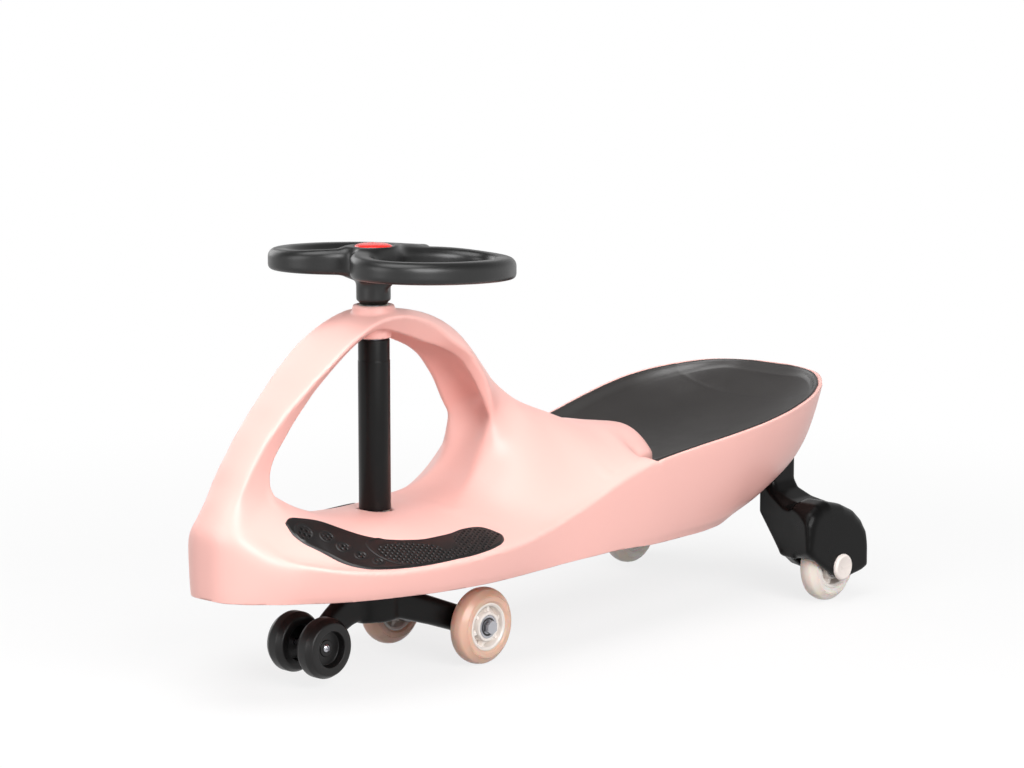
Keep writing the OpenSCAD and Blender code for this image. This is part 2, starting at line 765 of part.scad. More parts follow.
module rear_axle_cap() {
    r = axle_cap_d / 2;
    color("ivory")
        translate([bracket_out, rear_y, wheel_r])
            rotate([0, 90, 0])
                rotate_extrude()
                    polygon(dome(r, axle_cap_t, 0.7, 0.4));
}

module rear_axle_cap_left() {
    rear_axle_cap();
}

module rear_axle_cap_right() {
    mirror([1, 0, 0])
        rear_axle_cap();
}

// Rings of one lobe of the steering wheel's rim
lobe_turns = 48;
rim_sides = 12;
rim_square = 0.62;
function lobe_ring(k) = let (a = 360 * k / lobe_turns, ax = (lobe_w - rim_w) / 2,
    ay = (lobe_l - rim_w) / 2, side = [ay * cos(a), ax * sin(a)], n = side / norm(side))
    [for (j = [0:rim_sides - 1]) let (b = -360 * j / rim_sides,
        u = rim_w / 2 * signed_pow(cos(b), rim_square), back = grip_back + ay * sin(a) + n[1] * u)
        [lobe_x + ax * cos(a) + n[0] * u, column_y + back,
            rim_mid - back * tan(rim_tilt) + rim_h / 2 * signed_pow(sin(b), rim_square)]];

hub_top = rim_top + hub_rise;
grip_hub_r = cap_d * 0.68;
grip_hub_z = rim_top - rim_h;
shaft_top = rim_top - rim_h * 0.5;
thread_r = shaft_r * 0.5;
nut_h = rim_h * 0.22;
nut_r = shaft_r * 0.95;
nut_room_r = shaft_r * 1.25;
shaft_foot = fork_foot + wall;

// Both lobes of the rim, to their full width
module grips() {
    resize([2 * grip_x, 0, 0])
        union() {
            for (m = [0, 1])
                mirror([m, 0, 0])
                    ring_loft([for (k = [0:lobe_turns - 1]) lobe_ring(k)]);
        }
}

module steering_wheel() {
    color("dimgray")
        difference() {
            union() {
                grips();
                translate([0, column_y, grip_hub_z])
                    cylinder(r = grip_hub_r, h = hub_top - grip_hub_z);
                translate([0, column_y, boss_z])
                    cylinder(d = boss_d, h = grip_hub_z - boss_z + over);
                translate([0, column_y, body_h + end_gap])
                    cylinder(d = neck_d, h = boss_z - body_h);
            }
            translate([0, column_y, body_h])
                cylinder(r = shaft_r, h = shaft_top - body_h);
            translate([0, column_y, body_h])
                cylinder(r = thread_r, h = hub_top - body_h);
            translate([0, column_y, shaft_top + wall])
                cylinder(r = nut_room_r, h = rim_h);
        }
}

module steering_cap() {
    r = cap_d / 2;
    color("red")
        translate([0, column_y, hub_top])
            rotate_extrude()
                polygon(dome(r, cap_rise, 0.35, 0.3));
}

module steering_nut() {
    color("silver")
        translate([0, column_y, shaft_top + wall])
            difference() {
                cylinder(r = nut_r, h = nut_h, $fn = 6);
                translate([0, 0, -over])
                    cylinder(r = thread_r, h = nut_h + 2 * over);
            }
}

pin_z = fork_foot + fork_hub_h * 0.5;
pin_back = fork_hub_r * 0.96;
pin_front = fork_hub_r * 0.7;

module steering_shaft() {
    color("silver")
        difference() {
            union() {
                translate([0, column_y, shaft_foot])
                    cylinder(r = shaft_r, h = shaft_top - shaft_foot);
                translate([0, column_y, shaft_top])
                    cylinder(r = thread_r, h = wall + nut_h);
            }
            translate([0, column_y + fork_hub_r, pin_z])
                rotate([90, 0, 0])
                    cylinder(d = pin_d, h = fork_hub_d);
        }
}

// Foot of the sleeve, clear of the deck where that rises ahead of the column
sleeve_foot = deck_height(0, column_share - sleeve_r / body_len) + end_gap;

module column_sleeve() {
    color("dimgray")
        translate([0, column_y, sleeve_foot])
            difference() {
                cylinder(r = sleeve_r, h = arch_under - sleeve_gap - sleeve_foot);
                translate([0, 0, -over])
                    cylinder(r = shaft_r, h = arch_under - sleeve_foot + over);
            }
}

module thrust_washer() {
    color("ivory")
        translate([0, column_y, fork_top])
            difference() {
                cylinder(r = flange_r, h = thrust_t);
                translate([0, 0, -over])
                    cylinder(r = shaft_r, h = thrust_t + 2 * over);
            }
}

front_in = front_x - wheel_w / 2 - cheek_gap;
front_boss_r = wheel_r * 0.36;
front_boss_l = wheel_w * 0.6;
caster_in = caster_x - caster_w / 2 - cheek_gap / 3;

// Side of the front arm: ahead of the column and height, as shares of the lead and the fork's top
arm_shares = [[0.1, 0.98], [0.42, 0.97], [0.66, 0.89], [0.9, 0.7], [1.06, 0.57], [1.13, 0.46], [1.08, 0.35],
    [0.97, 0.31], [0.86, 0.36], [0.68, 0.48], [0.42, 0.57], [0.1, 0.58]];

module front_fork() {
    color("dimgray")
        difference() {
            union() {
                translate([0, column_y, fork_foot])
                    cylinder(r = fork_hub_r, h = fork_hub_h);
                across(-caster_in, caster_in)
                    polygon([for (p = arm_shares) [column_y - p[0] * caster_lead, p[1] * fork_top]]);
                for (m = [0, 1])
                    mirror([m, 0, 0])
                        hull() {
                            translate([arm_w * 0.55, column_y, fork_top - arm_h * 1.3])
                                cylinder(d = arm_w, h = arm_h * 1.2, $fn = 32);
                            translate([front_in - front_boss_l, front_y, wheel_r])
                                rotate([0, 90, 0])
                                    cylinder(r = front_boss_r, h = front_boss_l, $fn = 32);
                        }
            }
            translate([0, column_y, shaft_foot])
                cylinder(r = shaft_r, h = fork_top);
            translate([-front_x, front_y, wheel_r])
                rotate([0, 90, 0])
                    cylinder(r = axle_r, h = 2 * front_x);
            translate([-caster_x, caster_y, caster_z])
                rotate([0, 90, 0])
                    cylinder(r = caster_axle_r, h = 2 * caster_x);
            translate([0, column_y + 2 * fork_hub_r, pin_z])
                rotate([90, 0, 0])
                    cylinder(d = pin_d, h = 2 * fork_hub_r + pin_front);
        }
}

module fork_pin() {
    color("silver")
        translate([0, column_y + pin_back, pin_z])
            rotate([90, 0, 0])
                cylinder(d = pin_d, h = pin_back + pin_front);
}

front_nut_in = front_x + hub_w / 2 + end_gap;
axle_nut_h = axle_d * 0.6;

module front_axle() {
    color("silver")
        translate([-front_nut_in - axle_nut_h, front_y, wheel_r])
            rotate([0, 90, 0])
                cylinder(r = axle_r, h = 2 * (front_nut_in + axle_nut_h));
}

module front_axle_nuts() {
    color("silver")
        for (m = [0, 1])
            mirror([m, 0, 0])
                translate([front_nut_in, front_y, wheel_r])
                    rotate([0, 90, 0])
                        difference() {
                            cylinder(r = axle_r * 1.7, h = axle_nut_h, $fn = 6);
                            translate([0, 0, -over])
                                cylinder(r = axle_r, h = axle_nut_h + 2 * over);
                        }
}

caster_dish = caster_w * 0.2;
caster_face = caster_x + caster_w / 2 - caster_dish + end_gap;
caster_head_h = caster_axle_d * 0.5;

module caster_axle() {
    color("silver") {
        translate([-caster_face, caster_y, caster_z])
            rotate([0, 90, 0])
                cylinder(r = caster_axle_r, h = 2 * caster_face);
        for (m = [0, 1])
            mirror([m, 0, 0])
                translate([caster_face, caster_y, caster_z])
                    rotate([0, 90, 0])
                        cylinder(r = caster_axle_r * 1.55, h = caster_head_h);
    }
}

// Places a wheel drawn about Z, with its outer face up, at x on the car's left or right
module wheel_at(side, x, y, z) {
    mirror([side > 0 ? 0 : 1, 0, 0])
        translate([x, y, z])
            rotate([0, 90, 0])
                children();
}

// Half of a rounded band: corners of radius c on the outside of a ring from r1 to r2, of width w
function band(r1, r2, w, c) = concat([[r1, -w / 2]],
    [for (a = [-90:15:0]) [r2 - c + c * cos(a), -w / 2 + c + c * sin(a)]],
    [for (a = [0:15:90]) [r2 - c + c * cos(a), w / 2 - c + c * sin(a)]],
    [[r1, w / 2]]);

module tyre() {
    rotate_extrude()
        polygon(band(hub_r, wheel_r, wheel_w, tread_t * 0.62));
}

web_t = wheel_w * 0.34;
hub_boss_r = bearing_r + wall;
hub_rim_r = hub_r - wall;
windows = 5;

module hub() {
    difference() {
        rotate_extrude()
            polygon([[bearing_r * 0.72, -hub_w / 2 + bearing_w], [bearing_r * 0.72, hub_w / 2 - bearing_w],
                [bearing_r, hub_w / 2 - bearing_w], [bearing_r, hub_w / 2], [hub_boss_r, hub_w / 2],
                [hub_boss_r, web_t / 2], [hub_rim_r, web_t / 2], [hub_rim_r, hub_w / 2], [hub_r, hub_w / 2],
                [hub_r, -hub_w / 2], [hub_rim_r, -hub_w / 2], [hub_rim_r, -web_t / 2],
                [hub_boss_r, -web_t / 2], [hub_boss_r, -hub_w / 2], [bearing_r, -hub_w / 2],
                [bearing_r, -hub_w / 2 + bearing_w]]);
        for (k = [0:windows - 1])
            rotate(360 * k / windows)
                translate([(hub_boss_r + hub_rim_r) / 2, 0, -web_t])
                    cylinder(d = (hub_rim_r - hub_boss_r) * 0.8, h = 2 * web_t);
    }
}

module bearings() {
    for (m = [0, 1])
        mirror([0, 0, m])
            translate([0, 0, hub_w / 2 - bearing_w])
                difference() {
                    cylinder(r = bearing_r, h = bearing_w);
                    translate([0, 0, -over])
                        cylinder(r = axle_r + run_fit, h = bearing_w + 2 * over);
                }
}

module front_tyre_left() {
    color("peachpuff")
        wheel_at(1, front_x, front_y, wheel_r)
            tyre();
}

module front_hub_left() {
    color("whitesmoke")
        wheel_at(1, front_x, front_y, wheel_r)
            hub();
}

module front_bearings_left() {
    color("silver")
        wheel_at(1, front_x, front_y, wheel_r)
            bearings();
}

module front_tyre_right() {
    color("peachpuff")
        wheel_at(-1, front_x, front_y, wheel_r)
            tyre();
}

module front_hub_right() {
    color("whitesmoke")
        wheel_at(-1, front_x, front_y, wheel_r)
            hub();
}

module front_bearings_right() {
    color("silver")
        wheel_at(-1, front_x, front_y, wheel_r)
            bearings();
}

module rear_tyre_left() {
    color("peachpuff")
        wheel_at(1, rear_x, rear_y, wheel_r)
            tyre();
}

module rear_hub_left() {
    color("whitesmoke")
        wheel_at(1, rear_x, rear_y, wheel_r)
            hub();
}

module rear_bearings_left() {
    color("silver")
        wheel_at(1, rear_x, rear_y, wheel_r)
            bearings();
}

module rear_tyre_right() {
    color("peachpuff")
        wheel_at(-1, rear_x, rear_y, wheel_r)
            tyre();
}

module rear_hub_right() {
    color("whitesmoke")
        wheel_at(-1, rear_x, rear_y, wheel_r)
            hub();
}

module rear_bearings_right() {
    color("silver")
        wheel_at(-1, rear_x, rear_y, wheel_r)
            bearings();
}

module caster() {
    bore = caster_axle_r + run_fit;
    dish_r = caster_r * 0.55;
    w = caster_w / 2;
    rotate_extrude()
        polygon(concat([[bore, -w + caster_dish], [dish_r, -w + caster_dish], [dish_r * 1.12, -w]],
            [for (p = band(dish_r * 1.12, caster_r, caster_w, caster_w * 0.22)) if (p[0] > dish_r * 1.13) p],
            [[dish_r * 1.12, w], [dish_r, w - caster_dish], [bore, w - caster_dish]]));
}

module caster_left() {
    color("dimgray")
        wheel_at(1, caster_x, caster_y, caster_z)
            caster();
}

module caster_right() {
    color("dimgray")
        wheel_at(-1, caster_x, caster_y, caster_z)
            caster();
}

body_shell();
seat_pan();
seat_screws();
foot_pad_left();
foot_pad_right();
upper_bush();
lower_bush();
rear_bracket_left();
rear_bracket_right();
bracket_screws();
rear_axle_left();
rear_axle_right();
rear_axle_cap_left();
rear_axle_cap_right();
steering_wheel();
steering_cap();
steering_nut();
steering_shaft();
column_sleeve();
thrust_washer();
front_fork();
fork_pin();
front_axle();
front_axle_nuts();
caster_axle();
front_tyre_left();
front_hub_left();
front_bearings_left();
front_tyre_right();
front_hub_right();
front_bearings_right();
rear_tyre_left();
rear_hub_left();
rear_bearings_left();
rear_tyre_right();
rear_hub_right();
rear_bearings_right();
caster_left();
caster_right();
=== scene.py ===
import json
import math
import bmesh
import bpy
import numpy as np
import openvdb as vdb
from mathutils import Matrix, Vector
from mathutils.bvhtree import BVHTree


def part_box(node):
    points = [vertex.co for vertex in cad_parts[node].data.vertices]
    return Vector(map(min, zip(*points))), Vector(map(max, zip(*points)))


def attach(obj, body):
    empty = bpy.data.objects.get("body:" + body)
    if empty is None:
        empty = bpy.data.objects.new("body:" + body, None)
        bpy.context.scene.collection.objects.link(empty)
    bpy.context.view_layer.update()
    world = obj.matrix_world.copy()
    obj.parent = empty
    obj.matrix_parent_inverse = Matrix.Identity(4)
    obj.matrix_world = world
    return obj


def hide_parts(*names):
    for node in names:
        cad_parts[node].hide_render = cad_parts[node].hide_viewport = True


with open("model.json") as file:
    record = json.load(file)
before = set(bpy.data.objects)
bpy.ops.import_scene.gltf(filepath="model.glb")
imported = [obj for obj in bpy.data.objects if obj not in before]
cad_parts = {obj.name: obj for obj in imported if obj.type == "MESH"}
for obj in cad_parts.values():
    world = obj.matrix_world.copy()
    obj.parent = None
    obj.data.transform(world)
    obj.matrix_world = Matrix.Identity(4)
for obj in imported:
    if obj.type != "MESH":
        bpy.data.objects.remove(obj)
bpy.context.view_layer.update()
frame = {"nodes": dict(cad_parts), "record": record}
nodes = frame["nodes"]
print("frame loaded:", len(nodes), "nodes")

# sizes that the frame gives
shellLow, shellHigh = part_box("body_shell")
bodyLength = shellHigh.y - shellLow.y
bodyHeight = shellHigh.z
bodyHalf = 0.130


def middle(node):
    low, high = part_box(node)
    return (low + high) / 2


def along(share):
    return shellLow.y + share * bodyLength


def wide(share):
    return share * bodyHalf


def high(share):
    return share * bodyHeight


columnY = middle("steering_shaft").y
axisRadius = 0.0001    # a turned profile stops just short of its axis


# curves through given values, and the smoothing of a row of values
def throughPoints(xs, ys, places):
    xs, ys, places = np.asarray(xs, float), np.asarray(ys, float), np.asarray(places, float)
    step = np.diff(xs)
    slope = np.diff(ys) / step
    total = slope[:-1] + slope[1:]
    same = slope[:-1] * slope[1:] > 0
    tangent = np.zeros_like(ys)
    tangent[1:-1] = np.where(same, 2 * slope[:-1] * slope[1:] / np.where(same, total, 1), 0)
    tangent[0], tangent[-1] = slope[0], slope[-1]
    i = np.clip(np.searchsorted(xs, places) - 1, 0, len(step) - 1)
    t = (places - xs[i]) / step[i]
    h = step[i]
    return ((2 * t ** 3 - 3 * t ** 2 + 1) * ys[i] + (t ** 3 - 2 * t ** 2 + t) * h * tangent[i]
            + (3 * t ** 2 - 2 * t ** 3) * ys[i + 1] + (t ** 3 - t ** 2) * h * tangent[i + 1])


def evened(values, rounds):
    values = np.array(values, float)
    for _ in range(rounds):
        values[1:-1] = (values[:-2] + 2 * values[1:-1] + values[2:]) / 4
    return values


def smoothStep(low, upper, value):
    t = np.clip((value - low) / (upper - low), 0, 1)
    return t * t * (3 - 2 * t)


# distance fields on a shared grid
class Field:
    def __init__(self, low, upper, cell):
        self.cell = cell
        self.first = np.floor(np.array(low) / cell).astype(int)
        self.count = np.ceil(np.array(upper) / cell).astype(int) - self.first + 1
        self.values = np.full(self.count, 1.0, np.float32)

    def axes(self):
        return [(self.first[k] + np.arange(self.count[k])) * self.cell for k in range(3)]

    def mesh(self):
        x, y, z = self.axes()
        return np.meshgrid(x, y, z, indexing="ij", sparse=True)

    def fromMesh(self, points, quads, triangles, band):
        transform = vdb.createLinearTransform(voxelSize=self.cell)
        grid = vdb.FloatGrid.createLevelSetFromPolygons(
            np.asarray(points, np.float32), triangles=np.asarray(triangles, np.uint32).reshape(-1, 3),
            quads=np.asarray(quads, np.uint32).reshape(-1, 4), transform=transform, halfWidth=band)
        out = np.full(self.count, band * self.cell, np.float32)
        grid.copyToArray(out, ijk=tuple(int(v) for v in self.first))
        return out


def softUnion(a, b, reach):
    # rounds the inner corner where two surfaces cross, and adds nothing where they run side by side
    na = np.gradient(a)
    nb = np.gradient(b)
    dot = sum(p * q for p, q in zip(na, nb))
    size = np.sqrt(sum(p * p for p in na) * sum(q * q for q in nb)) + 1e-9
    k = reach * np.clip(1 - dot / size, 0, 1) + 1e-6
    h = np.clip(1 - np.abs(a - b) / k, 0, 1)
    return np.minimum(a, b) - h * h * k / 4


def plainUnion(a, b, reach):
    h = np.clip(1 - np.abs(a - b) / reach, 0, 1)
    return np.minimum(a, b) - h * h * reach / 4


def softCut(a, b, reach):
    return -plainUnion(-a, b, reach)


def blurred(values, rounds):
    for _ in range(rounds):
        for axis in range(3):
            v = np.moveaxis(values, axis, 0)
            v[1:-1] = (v[:-2] + 2 * v[1:-1] + v[2:]) / 4
    return values


def roundBox(q1, q2, radius):
    # a solid with rounded edges, from the distances to its outline and to its two faces
    a, b = q1 + radius, q2 + radius
    outside = np.sqrt(np.clip(a, 0, None) ** 2 + np.clip(b, 0, None) ** 2)
    return outside + np.minimum(np.maximum(a, b), 0) - radius


def postField(out, z, radius, foot, top, rounding):
    # an upright round post, from the distance out from its axis and the height
    return roundBox(out - radius, np.abs(z - (top + foot) / 2) - (top - foot) / 2, rounding)


def fades(*pairs):
    # the product of smooth steps, each over its own range of values
    share = 1
    for values, ranges in pairs:
        for start, end in ranges:
            share = share * smoothStep(start, end, values)
    return share


def outlineDistance(outline, u, v):
    # signed distance to a closed outline, negative inside
    pts = np.asarray(outline, float)
    best = np.full(np.broadcast(u, v).shape, 1e9)
    inside = np.zeros(best.shape, bool)
    for p, q in zip(pts, np.roll(pts, -1, axis=0)):
        e = q - p
        t = np.clip(((u - p[0]) * e[0] + (v - p[1]) * e[1]) / (e @ e), 0, 1)
        best = np.minimum(best, np.hypot(u - p[0] - t * e[0], v - p[1] - t * e[1]))
        crosses = (p[1] > v) != (q[1] > v)
        where = p[0] + (v - p[1]) / (e[1] if abs(e[1]) > 1e-12 else 1e-12) * e[0]
        inside ^= crosses & (u < where)
    return np.where(inside, -best, best)


def blendedZone(values, weight, rounds):
    # smooths the field where the weight is more than nothing
    weight = np.broadcast_to(weight, values.shape)
    span = []
    for axis in range(3):
        used = np.nonzero(weight.max(tuple(k for k in range(3) if k != axis)) > 0)[0]
        span.append(slice(max(used[0] - 2, 0), used[-1] + 3))
    part = values[tuple(span)]
    values[tuple(span)] = part + weight[tuple(span)] * (blurred(part.copy(), rounds) - part)
    return values


def surfaceOf(field, values, rounds=6):
    grid = vdb.FloatGrid()
    grid.transform = vdb.createLinearTransform(voxelSize=field.cell)
    grid.copyFromArray(np.ascontiguousarray(values, np.float32), ijk=tuple(int(v) for v in field.first))
    points, quads = (np.array(part) for part in grid.convertToQuads(isovalue=0.0))
    points, quads = points.astype(float), quads.astype(int)
    a, b, c, d = (points[quads[:, k]] for k in range(4))
    if np.einsum("ij,ij->", a + b + c + d, np.cross(c - a, d - b)) < 0:
        quads = quads[:, ::-1]
    return relaxed(points, quads, rounds)


def relaxed(points, quads, rounds):
    a = quads.reshape(-1)
    b = np.roll(quads, -1, axis=1).reshape(-1)
    degree = np.bincount(a, minlength=len(points)) + np.bincount(b, minlength=len(points))
    for step in range(rounds):
        share = 0.5 if step % 2 == 0 else -0.51
        mean = np.empty_like(points)
        for axis in range(3):
            mean[:, axis] = (np.bincount(a, points[b, axis], len(points))
                             + np.bincount(b, points[a, axis], len(points))) / degree
        points = points + share * (mean - points)
    return points, quads


def lofted(rings, closed=False):
    # points, quads and end triangles of a solid through rings of equal length
    rings = np.asarray(rings, float)
    m, n = rings.shape[:2]
    points = rings.reshape(-1, 3)
    quads = []
    j = np.arange(n)
    k = (j + 1) % n
    for i in range(m if closed else m - 1):
        h = (i + 1) % m
        quads.append(np.stack([i * n + j, i * n + k, h * n + k, h * n + j], axis=1))
    quads = np.concatenate(quads)
    if closed:
        return points, quads, np.zeros((0, 3), int)
    points = np.vstack([points, rings[0].mean(0), rings[-1].mean(0)])
    first = np.stack([j * 0 + m * n, k, j], axis=1)
    last = np.stack([j * 0 + m * n + 1, (m - 1) * n + j, (m - 1) * n + k], axis=1)
    return points, quads, np.vstack([first, last])


def gridFaces(index):
    # quads between the neighbours in a grid of point numbers
    corners = [index[:-1, :-1], index[:-1, 1:], index[1:, 1:], index[1:, :-1]]
    return np.stack(corners, axis=-1).reshape(-1, 4)


# pieces
def meshObject(name, points, faces, material, smooth=True, angle=None, turned=False):
    data = bpy.data.meshes.new(name)
    data.from_pydata([tuple(p) for p in np.asarray(points, float)], [],
                     [tuple(int(i) for i in f) for f in faces])
    data.update()
    obj = bpy.data.objects.new(name, data)
    bpy.context.scene.collection.objects.link(obj)
    data.materials.append(material)
    finishMesh(obj, smooth, angle, turned)
    return obj


def finishMesh(obj, smooth=True, angle=None, turned=False):
    # faces that already look outwards are left as they are
    work = bmesh.new()
    work.from_mesh(obj.data)
    if not turned:
        bmesh.ops.recalc_face_normals(work, faces=work.faces)
    for face in work.faces:
        face.smooth = smooth
    if angle:
        for edge in work.edges:
            if len(edge.link_faces) == 2 and edge.calc_face_angle(0) > math.radians(angle):
                edge.smooth = False
    work.to_mesh(obj.data)
    work.free()


def lathe(profile, turns=96, centre=(0, 0, 0), axis="x", side=1):
    # turns a closed profile of (radius, place along the axis) about an axis
    n = len(profile)
    points, faces = [], []
    for i in range(turns):
        a = 2 * math.pi * i / turns
        c, s = math.cos(a), math.sin(a)
        for r, h in profile:
            p = (side * h, r * c, r * s) if axis == "x" else (r * c, r * s, h)
            points.append([p[q] + centre[q] for q in range(3)])
    for i in range(turns):
        nextTurn = (i + 1) % turns
        for j in range(n):
            k = (j + 1) % n
            faces.append((i * n + j, i * n + k, nextTurn * n + k, nextTurn * n + j))
    return points, faces


def joined(name, parts, material, angle=None):
    points, faces = [], []
    for p, f in parts:
        base = len(points)
        points += [tuple(q) for q in p]
        faces += [tuple(i + base for i in face) for face in f]
    return meshObject(name, points, faces, material, angle=angle)


def rounded(corners, radius, steps=5):
    # a closed outline with its corners rounded; a corner may carry its own radius
    out = []
    n = len(corners)
    for i in range(n):
        a, b, c = (np.array(corners[(i + d) % n][:2], float) for d in (-1, 0, 1))
        r = corners[i][2] if len(corners[i]) > 2 else radius
        u, v = (a - b), (c - b)
        lu, lv = np.linalg.norm(u), np.linalg.norm(v)
        if r <= 0 or lu < 1e-9 or lv < 1e-9:
            out.append(tuple(b))
            continue
        u, v = u / lu, v / lv
        half = math.acos(max(-1, min(1, float(u @ v)))) / 2
        cut = min(r / math.tan(half) if half > 1e-3 else 0, 0.49 * lu, 0.49 * lv)
        p, q = b + u * cut, b + v * cut
        for s in range(steps + 1):
            t = s / steps
            out.append(tuple((1 - t) ** 2 * p + 2 * t * (1 - t) * b + t * t * q))
    return out


# materials
def newGroup(name, inputs, outputs):
    group = bpy.data.node_groups.new(name, "ShaderNodeTree")
    for label, kind, value in inputs:
        socket = group.interface.new_socket(name=label, in_out="INPUT", socket_type="NodeSocket" + kind)
        if value is not None:
            socket.default_value = value
    for label, kind in outputs:
        group.interface.new_socket(name=label, in_out="OUTPUT", socket_type="NodeSocket" + kind)
    return group, group.nodes.new("NodeGroupInput"), group.nodes.new("NodeGroupOutput")


def makeMouldedSkin():
    # the skin of moulded plastic: slow colour drift, fine grain and patchy gloss
    group, start, end = newGroup("mouldedSkin", [
        ("Tone", "Color", (0.8, 0.8, 0.8, 1)), ("Shade", "Color", (0.7, 0.7, 0.7, 1)),
        ("Drift", "Float", 6.0), ("Grain", "Float", 900.0),
        ("Gloss low", "Float", 0.3), ("Gloss high", "Float", 0.4)],
        [("Color", "Color"), ("Roughness", "Float"), ("Height", "Float")])
    new, link = group.nodes.new, group.links.new
    place = new("ShaderNodeTexCoord")
    drift = new("ShaderNodeTexNoise")
    drift.inputs["Detail"].default_value = 3
    grain = new("ShaderNodeTexNoise")
    grain.inputs["Detail"].default_value = 2
    patch = new("ShaderNodeTexNoise")
    patch.inputs["Detail"].default_value = 4
    patch.inputs["Scale"].default_value = 38
    for node in (drift, grain, patch):
        link(place.outputs["Object"], node.inputs["Vector"])
    link(start.outputs["Drift"], drift.inputs["Scale"])
    link(start.outputs["Grain"], grain.inputs["Scale"])
    mix = new("ShaderNodeMix")
    mix.data_type = "RGBA"
    link(drift.outputs["Fac"], mix.inputs["Factor"])
    link(start.outputs["Tone"], mix.inputs["A"])
    link(start.outputs["Shade"], mix.inputs["B"])
    gloss = new("ShaderNodeMapRange")
    gloss.inputs["From Min"].default_value = 0.3
    gloss.inputs["From Max"].default_value = 0.7
    link(patch.outputs["Fac"], gloss.inputs["Value"])
    link(start.outputs["Gloss low"], gloss.inputs["To Min"])
    link(start.outputs["Gloss high"], gloss.inputs["To Max"])
    link(mix.outputs["Result"], end.inputs["Color"])
    link(gloss.outputs["Result"], end.inputs["Roughness"])
    link(grain.outputs["Fac"], end.inputs["Height"])
    return group


mouldedSkin = makeMouldedSkin()


def linear(r, g, b):
    # a colour as a screen shows it, to the renderer's own scale
    scaled = []
    for c in (r / 255, g / 255, b / 255):
        scaled.append(c / 12.92 if c <= 0.04045 else ((c + 0.055) / 1.055) ** 2.4)
    return (*scaled, 1)


def skinMaterial(name, look):
    material = bpy.data.materials.new(name)
    material.use_nodes = True
    tree = material.node_tree
    shader = tree.nodes["Principled BSDF"]
    skin = tree.nodes.new("ShaderNodeGroup")
    skin.node_tree = mouldedSkin
    skin.inputs["Tone"].default_value = linear(*look["tone"])
    skin.inputs["Shade"].default_value = linear(*look["shade"])
    skin.inputs["Drift"].default_value = look.get("drift", 6.0)
    skin.inputs["Grain"].default_value = look.get("grain", 900.0)
    skin.inputs["Gloss low"].default_value = look["rough"][0]
    skin.inputs["Gloss high"].default_value = look["rough"][1]
    bump = tree.nodes.new("ShaderNodeBump")
    bump.inputs["Strength"].default_value = look.get("bump", 0.05)
    bump.inputs["Distance"].default_value = look.get("depth", 0.0004)
    tree.links.new(skin.outputs["Color"], shader.inputs["Base Color"])
    tree.links.new(skin.outputs["Roughness"], shader.inputs["Roughness"])
    tree.links.new(skin.outputs["Height"], bump.inputs["Height"])
    tree.links.new(bump.outputs["Normal"], shader.inputs["Normal"])
    for socket, value in look.get("sockets", {}).items():
        shader.inputs[socket].default_value = value
    return material


finishes = {
    "pinkPlastic": {"tone": (254, 197, 188), "shade": (253, 193, 184), "rough": (0.36, 0.44), "bump": 0.04,
                    "grain": 1100.0, "sockets": {"Specular IOR Level": 0.5}},
    "seatPlastic": {"tone": (50, 47, 46), "shade": (43, 41, 40), "rough": (0.36, 0.44), "bump": 0.10,
                    "grain": 1500.0, "sockets": {"Specular IOR Level": 0.7}},
    "padRubber": {"tone": (24, 22, 22), "shade": (18, 17, 17), "rough": (0.30, 0.40), "bump": 0.06,
                  "sockets": {"Specular IOR Level": 0.5}},
    # painted shade: a darker, duller finish for the faces sunk in the pad's dots
    "padPitPaintedShade": {"tone": (9, 9, 9), "shade": (6, 6, 6), "rough": (0.7, 0.8), "bump": 0.04,
               "sockets": {"Specular IOR Level": 0.08}},
    "blackPlastic": {"tone": (16, 15, 15), "shade": (12, 12, 12), "rough": (0.28, 0.38), "bump": 0.05,
                     "sockets": {"Specular IOR Level": 0.2}},
    "gripPlastic": {"tone": (18, 18, 18), "shade": (14, 14, 14), "rough": (0.32, 0.40), "bump": 0.06,
                    "sockets": {"Specular IOR Level": 0.5}},
    "bracketPlastic": {"tone": (12, 11, 11), "shade": (9, 9, 9), "rough": (0.26, 0.34), "bump": 0.04,
                       "sockets": {"Specular IOR Level": 0.12}},
    "casterRubber": {"tone": (18, 16, 16), "shade": (14, 13, 13), "rough": (0.34, 0.45), "bump": 0.06,
                     "sockets": {"Specular IOR Level": 0.35}},
    "redPlastic": {"tone": (226, 42, 34), "shade": (214, 34, 28), "rough": (0.2, 0.27), "bump": 0.02},
    # front tyres: a peach tone that is partly their own tint and partly painted pink light bounced from the
    # body above them
    "frontTreadPinkBounce": {"tone": (241, 202, 181), "shade": (234, 187, 164), "rough": (0.26, 0.34), "bump": 0.03,
                   "sockets": {"Subsurface Weight": 0.4, "Subsurface Scale": 0.012}},
    "rearTread": {"tone": (253, 240, 231), "shade": (250, 232, 221), "rough": (0.26, 0.34), "bump": 0.03,
                  "sockets": {"Subsurface Weight": 0.4, "Subsurface Scale": 0.012}},
    "hubPlastic": {"tone": (248, 242, 237), "shade": (242, 233, 226), "rough": (0.14, 0.22), "bump": 0.02},
    "creamPlastic": {"tone": (248, 238, 232), "shade": (243, 230, 223), "rough": (0.25, 0.33), "bump": 0.02},
    "bushPlastic": {"tone": (226, 220, 206), "shade": (214, 208, 194), "rough": (0.4, 0.5), "bump": 0.04},
    "zincSteel": {"tone": (196, 196, 200), "shade": (176, 176, 182), "rough": (0.22, 0.36), "bump": 0.05,
                  "sockets": {"Metallic": 1.0}},
    "darkSeal": {"tone": (46, 46, 48), "shade": (36, 36, 38), "rough": (0.4, 0.5), "bump": 0.05},
}
materials = {name: skinMaterial(name, look) for name, look in finishes.items()}
